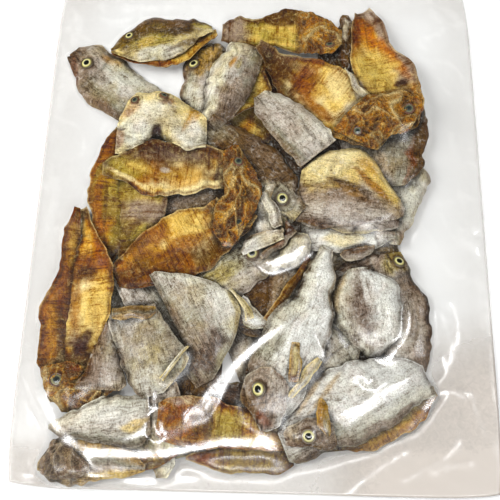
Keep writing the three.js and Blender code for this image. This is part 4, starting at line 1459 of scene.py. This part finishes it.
        Half((18, -152), -156, 101, (7, 12, 9, 14, 12, 9, 6), (10, 22, 30, 33, 31, 24, 13), warm=0.12,
             tone="pearl", fold=-1, back=1, dome=6, head=NO_HEAD,
             marks=(("ice", 76, -108, 32, 16, 24, 0.7), ("lilac", 34, -118, 12, 14, 60, 0.5),
                    ("tan", 37, -112, 18, 1.5, 58, 0.6), ("tan", 43, -116, 16, 1.5, 52, 0.6)),
             spots=(("mauve", 0.59, 0.85, 0.39, 0.18, 0.85), ("brown", 0.16, 0.95, 0.1, 0.35, 0.8),
                    ("grey", 0.38, 0.55, 0.12, 0.25, 0.7), ("white", 0.61, -0.3, 0.25, 0.6, 0.5),
                    ("lilac", 0.11, -0.2, 0.1, 0.9, 0.6)))]),
    ("fish_24_strip", [
        Half((32, -32), 57, 50, (1, 1, 1, 2, 2, 2, 2), (2, 4, 4, 4, 4, 3, 2), up="flesh", tone="honey",
             dome=1.5, head=NO_HEAD, follow=0.8,
             spots=(("umber", 0.5, 0, 0.6, 1.2, 0.85), ("brown", 0.5, -0.7, 0.6, 0.3, 0.6)))]),
    ("fish_24", [
        Half((-2, -130), -114, 115, (12, 22, 23, 27, 20, 12, 4), (6, 10, 17, 16, 9, 6, 4), warm=0.12,
             tone="pearl", fold=-1, back=-1, dome=6, head=NO_HEAD,
             spots=(("mauve", 0.19, -0.7, 0.09, 0.5, 0.9), ("rust", 0, -0.5, 0.06, 0.6, 0.8),
                    ("grey", 0.33, -0.7, 0.11, 0.4, 0.8), ("lilac", 0.15, 0.2, 0.07, 0.5, 0.5),
                    ("brown", 0.7, -1, 0.2, 0.15, 0.6), ("tan", 0.78, 0.9, 0.2, 0.15, 0.6)))]),
    ("fish_24_gill", [
        Half((4, -141), -94, 38, (3, 9, 12, 15, 15, 11, 4), (1, 3, 7, 13, 14, 13, 4), warm=0.12,
             tone="pearl", dome=2.2, head=NO_HEAD, follow=0.85, crimp=0.8, back=-1,
             eye=((0.64, -0.3, 5.2, 0),),
             spots=(("mauve", 0.5, -0.2, 0.6, 1.2, 0.9), ("umber", 0.35, -0.5, 0.25, 0.8, 0.8),
                    ("rust", 0.15, -0.3, 0.12, 0.5, 0.6), ("lilac", 0.7, 0.5, 0.2, 0.4, 0.5)))]),
    ("fish_25_gill", [
        Half((18, -146), -164, 30, (3, 5, 7, 8, 10, 11, 8), (5, 7, 8, 9, 8, 6, 2), tone="mauve", dome=2.0,
             head=NO_HEAD, follow=0.85, crimp=0.8, eye=((0.46, 0.2, 4.9, 0.15),),
             spots=(("umber", 0.5, -0.4, 0.5, 0.9, 0.6), ("lilac", 0.2, 0, 0.2, 0.8, 0.4),
                    ("olive", 0.6, 0.8, 0.3, 0.3, 0.6)))]),
    ("fish_25_rays", [
        Half((20, -121), -129, 30, (1, 2, 2, 3, 3, 3, 2), (1, 2, 2, 3, 4, 3, 2), tone="shell", dome=0.3,
             **FLAP, crimp=0.9,
             marks=(("tan", 28, -110, 14, 1, 51, 0.5),))]),
    ("fish_24_fin", [
        Half((23, -88), 88, 24, (3, 3, 3, 3, 3, 3, 3), (3, 3, 3, 4, 4, 4, 3), tone="tan", dome=0.4,
             **FLAP, crimp=0.4,
             spots=(("cream", 0.4, 0, 0.4, 0.8, 0.6), ("amber", 0.95, 0, 0.12, 0.7, 0.7)))]),
    ("fish_25_fin", [
        Half((39, -121), 98, 22, (1, 2, 3, 5, 6, 2, 0), (1, 2, 3, 3, 3, 3, 2), tone="tan", dome=0.5,
             **FLAP,
             spots=(("cream", 0.7, -0.5, 0.3, 0.4, 0.6), ("honey", 0.4, 0.2, 0.4, 0.8, 0.6)))]),
]

# ---------------------------------------------------------------- studio

FLOOR_REACH = 3.0        # metres from the middle to the floor's edge
FLOOR_DROP = 0.0004      # metres of the floor under the bag
CAMERA_TARGET = (-6.1, -25.0, 0.0)
CAMERA_TILT = math.radians(14.9)     # off straight down, towards the bag's lower end
CAMERA_YAW = math.radians(1.4)
CAMERA_DISTANCE = 403.0
CAMERA_FIELD = math.radians(45.24)
SURROUND_LIGHT = 0.28    # strength of the surround as a light
SURROUND_MIRRORED = 0.04   # its strength in what mirrors it


def camera():
    """A camera over the bag's lower half, looking almost straight down."""
    back = Vector((math.sin(CAMERA_YAW) * math.sin(CAMERA_TILT),
                   -math.cos(CAMERA_YAW) * math.sin(CAMERA_TILT), math.cos(CAMERA_TILT)))
    right = Vector((math.cos(CAMERA_YAW), math.sin(CAMERA_YAW), 0))
    up = back.cross(right)
    lens = bpy.data.cameras.new("camera")
    lens.angle = CAMERA_FIELD
    lens.clip_start = 0.01
    eye = bpy.data.objects.new("camera", lens)
    turn = Matrix((right, up, back)).transposed().to_4x4()
    eye.matrix_world = Matrix.Translation((Vector(CAMERA_TARGET) + back * CAMERA_DISTANCE) * MM) @ turn
    bpy.context.scene.collection.objects.link(eye)
    bpy.context.scene.camera = eye


def lamp(name, place, target, size, power, purpose):
    """A soft rectangular lamp at a place, aimed at a target, that gives form or gloss alone."""
    light = bpy.data.lights.new(name, "AREA")
    light.shape = "RECTANGLE"
    light.size, light.size_y = size
    light.energy = power
    holder = bpy.data.objects.new(name, light)
    aim = (Vector(place) - Vector(target)).to_track_quat("Z", "Y")
    holder.matrix_world = Matrix.Translation(place) @ aim.to_matrix().to_4x4()
    holder.visible_glossy = purpose == "gloss"
    holder.visible_diffuse = purpose == "form"
    bpy.context.scene.collection.objects.link(holder)


def studio():
    """A white floor, a pale surround and soft lamps."""
    ground = bmesh.new()
    bmesh.ops.create_grid(ground, x_segments=1, y_segments=1, size=FLOOR_REACH)
    bmesh.ops.translate(ground, verts=ground.verts[:], vec=(0, 0, -FLOOR_DROP))
    mesh = mesh_of(ground, "floor")
    floor = bpy.data.objects.new("floor", mesh)
    mesh.materials.append(white_floor())
    bpy.context.scene.collection.objects.link(floor)
    lamp("left", (-1.2, 0.2, 0.8), (0, 0, 0), (0.9, 1.0), 25, "form")
    lamp("back", (0.4, 1.1, 1.1), (0, 0, 0), (1.2, 0.9), 12, "form")
    lamp("front", (0.3, -1.1, 0.9), (0, 0, 0), (1.2, 0.8), 12, "form")
    lamp("front_strip", (0.0, -0.82, 1.01), (0, 0, 0.01), (1.5, 0.3), 42, "gloss")
    lamp("right_strip", (0.84, -0.28, 0.92), (0, 0, 0.01), (0.8, 0.22), 16, "gloss")
    lamp("left_strip", (-0.80, -0.43, 0.91), (0, 0, 0.01), (0.3, 0.22), 5.6, "gloss")
    surround()


def surround():
    """An even pale surround: bright behind the object, dim as a light, dimmer in what mirrors it."""
    world = bpy.data.worlds.new("surround")
    world.use_nodes = True
    tree = world.node_tree
    tree.nodes.clear()
    path = tree.nodes.new("ShaderNodeLightPath")
    lit = tree.nodes.new("ShaderNodeMapRange")
    lit.inputs["To Min"].default_value = SURROUND_LIGHT
    lit.inputs["To Max"].default_value = SURROUND_MIRRORED
    strength = tree.nodes.new("ShaderNodeMapRange")
    strength.inputs["To Max"].default_value = 1.0
    glow = tree.nodes.new("ShaderNodeBackground")
    out = tree.nodes.new("ShaderNodeOutputWorld")
    tree.links.new(path.outputs["Is Glossy Ray"], lit.inputs["Value"])
    tree.links.new(path.outputs["Is Camera Ray"], strength.inputs["Value"])
    tree.links.new(lit.outputs[0], strength.inputs["To Min"])
    tree.links.new(strength.outputs[0], glow.inputs["Strength"])
    tree.links.new(glow.outputs[0], out.inputs["Surface"])
    bpy.context.scene.world = world


# ---------------------------------------------------------------- the whole

def heap_of_fish():
    """Every fish from the bottom of the heap to the top."""
    heap = Heap()
    hide, eyes = dried_fish(), eye_finish()
    template = closed_slab("half_template", CELLS_ACROSS, CELLS_ALONG, 0.5)
    lowest = [(f"under_{number}", [lower_half(*place)]) for number, place in enumerate(LOWER_LAYER, 1)]
    laid = []
    for order, (name, halves) in enumerate(lowest + PILE):
        lies = [Lie(half, 100 * order + number) for number, half in enumerate(halves)]
        heap.settle(lies)
        titles = [name] if len(lies) == 1 else [name + "_a", name + "_b"]
        laid += zip(titles, lies)
    heap.finish()
    for number, (title, lie) in enumerate(laid):
        half_piece(title, lie, heap, template, hide, number)
        eyes_of(title, lie, eyes)
    bpy.data.meshes.remove(template)
    return heap


camera()
studio()
film_piece(heap_of_fish(), clear_film())
bpy.context.scene.view_settings.view_transform = "Standard"
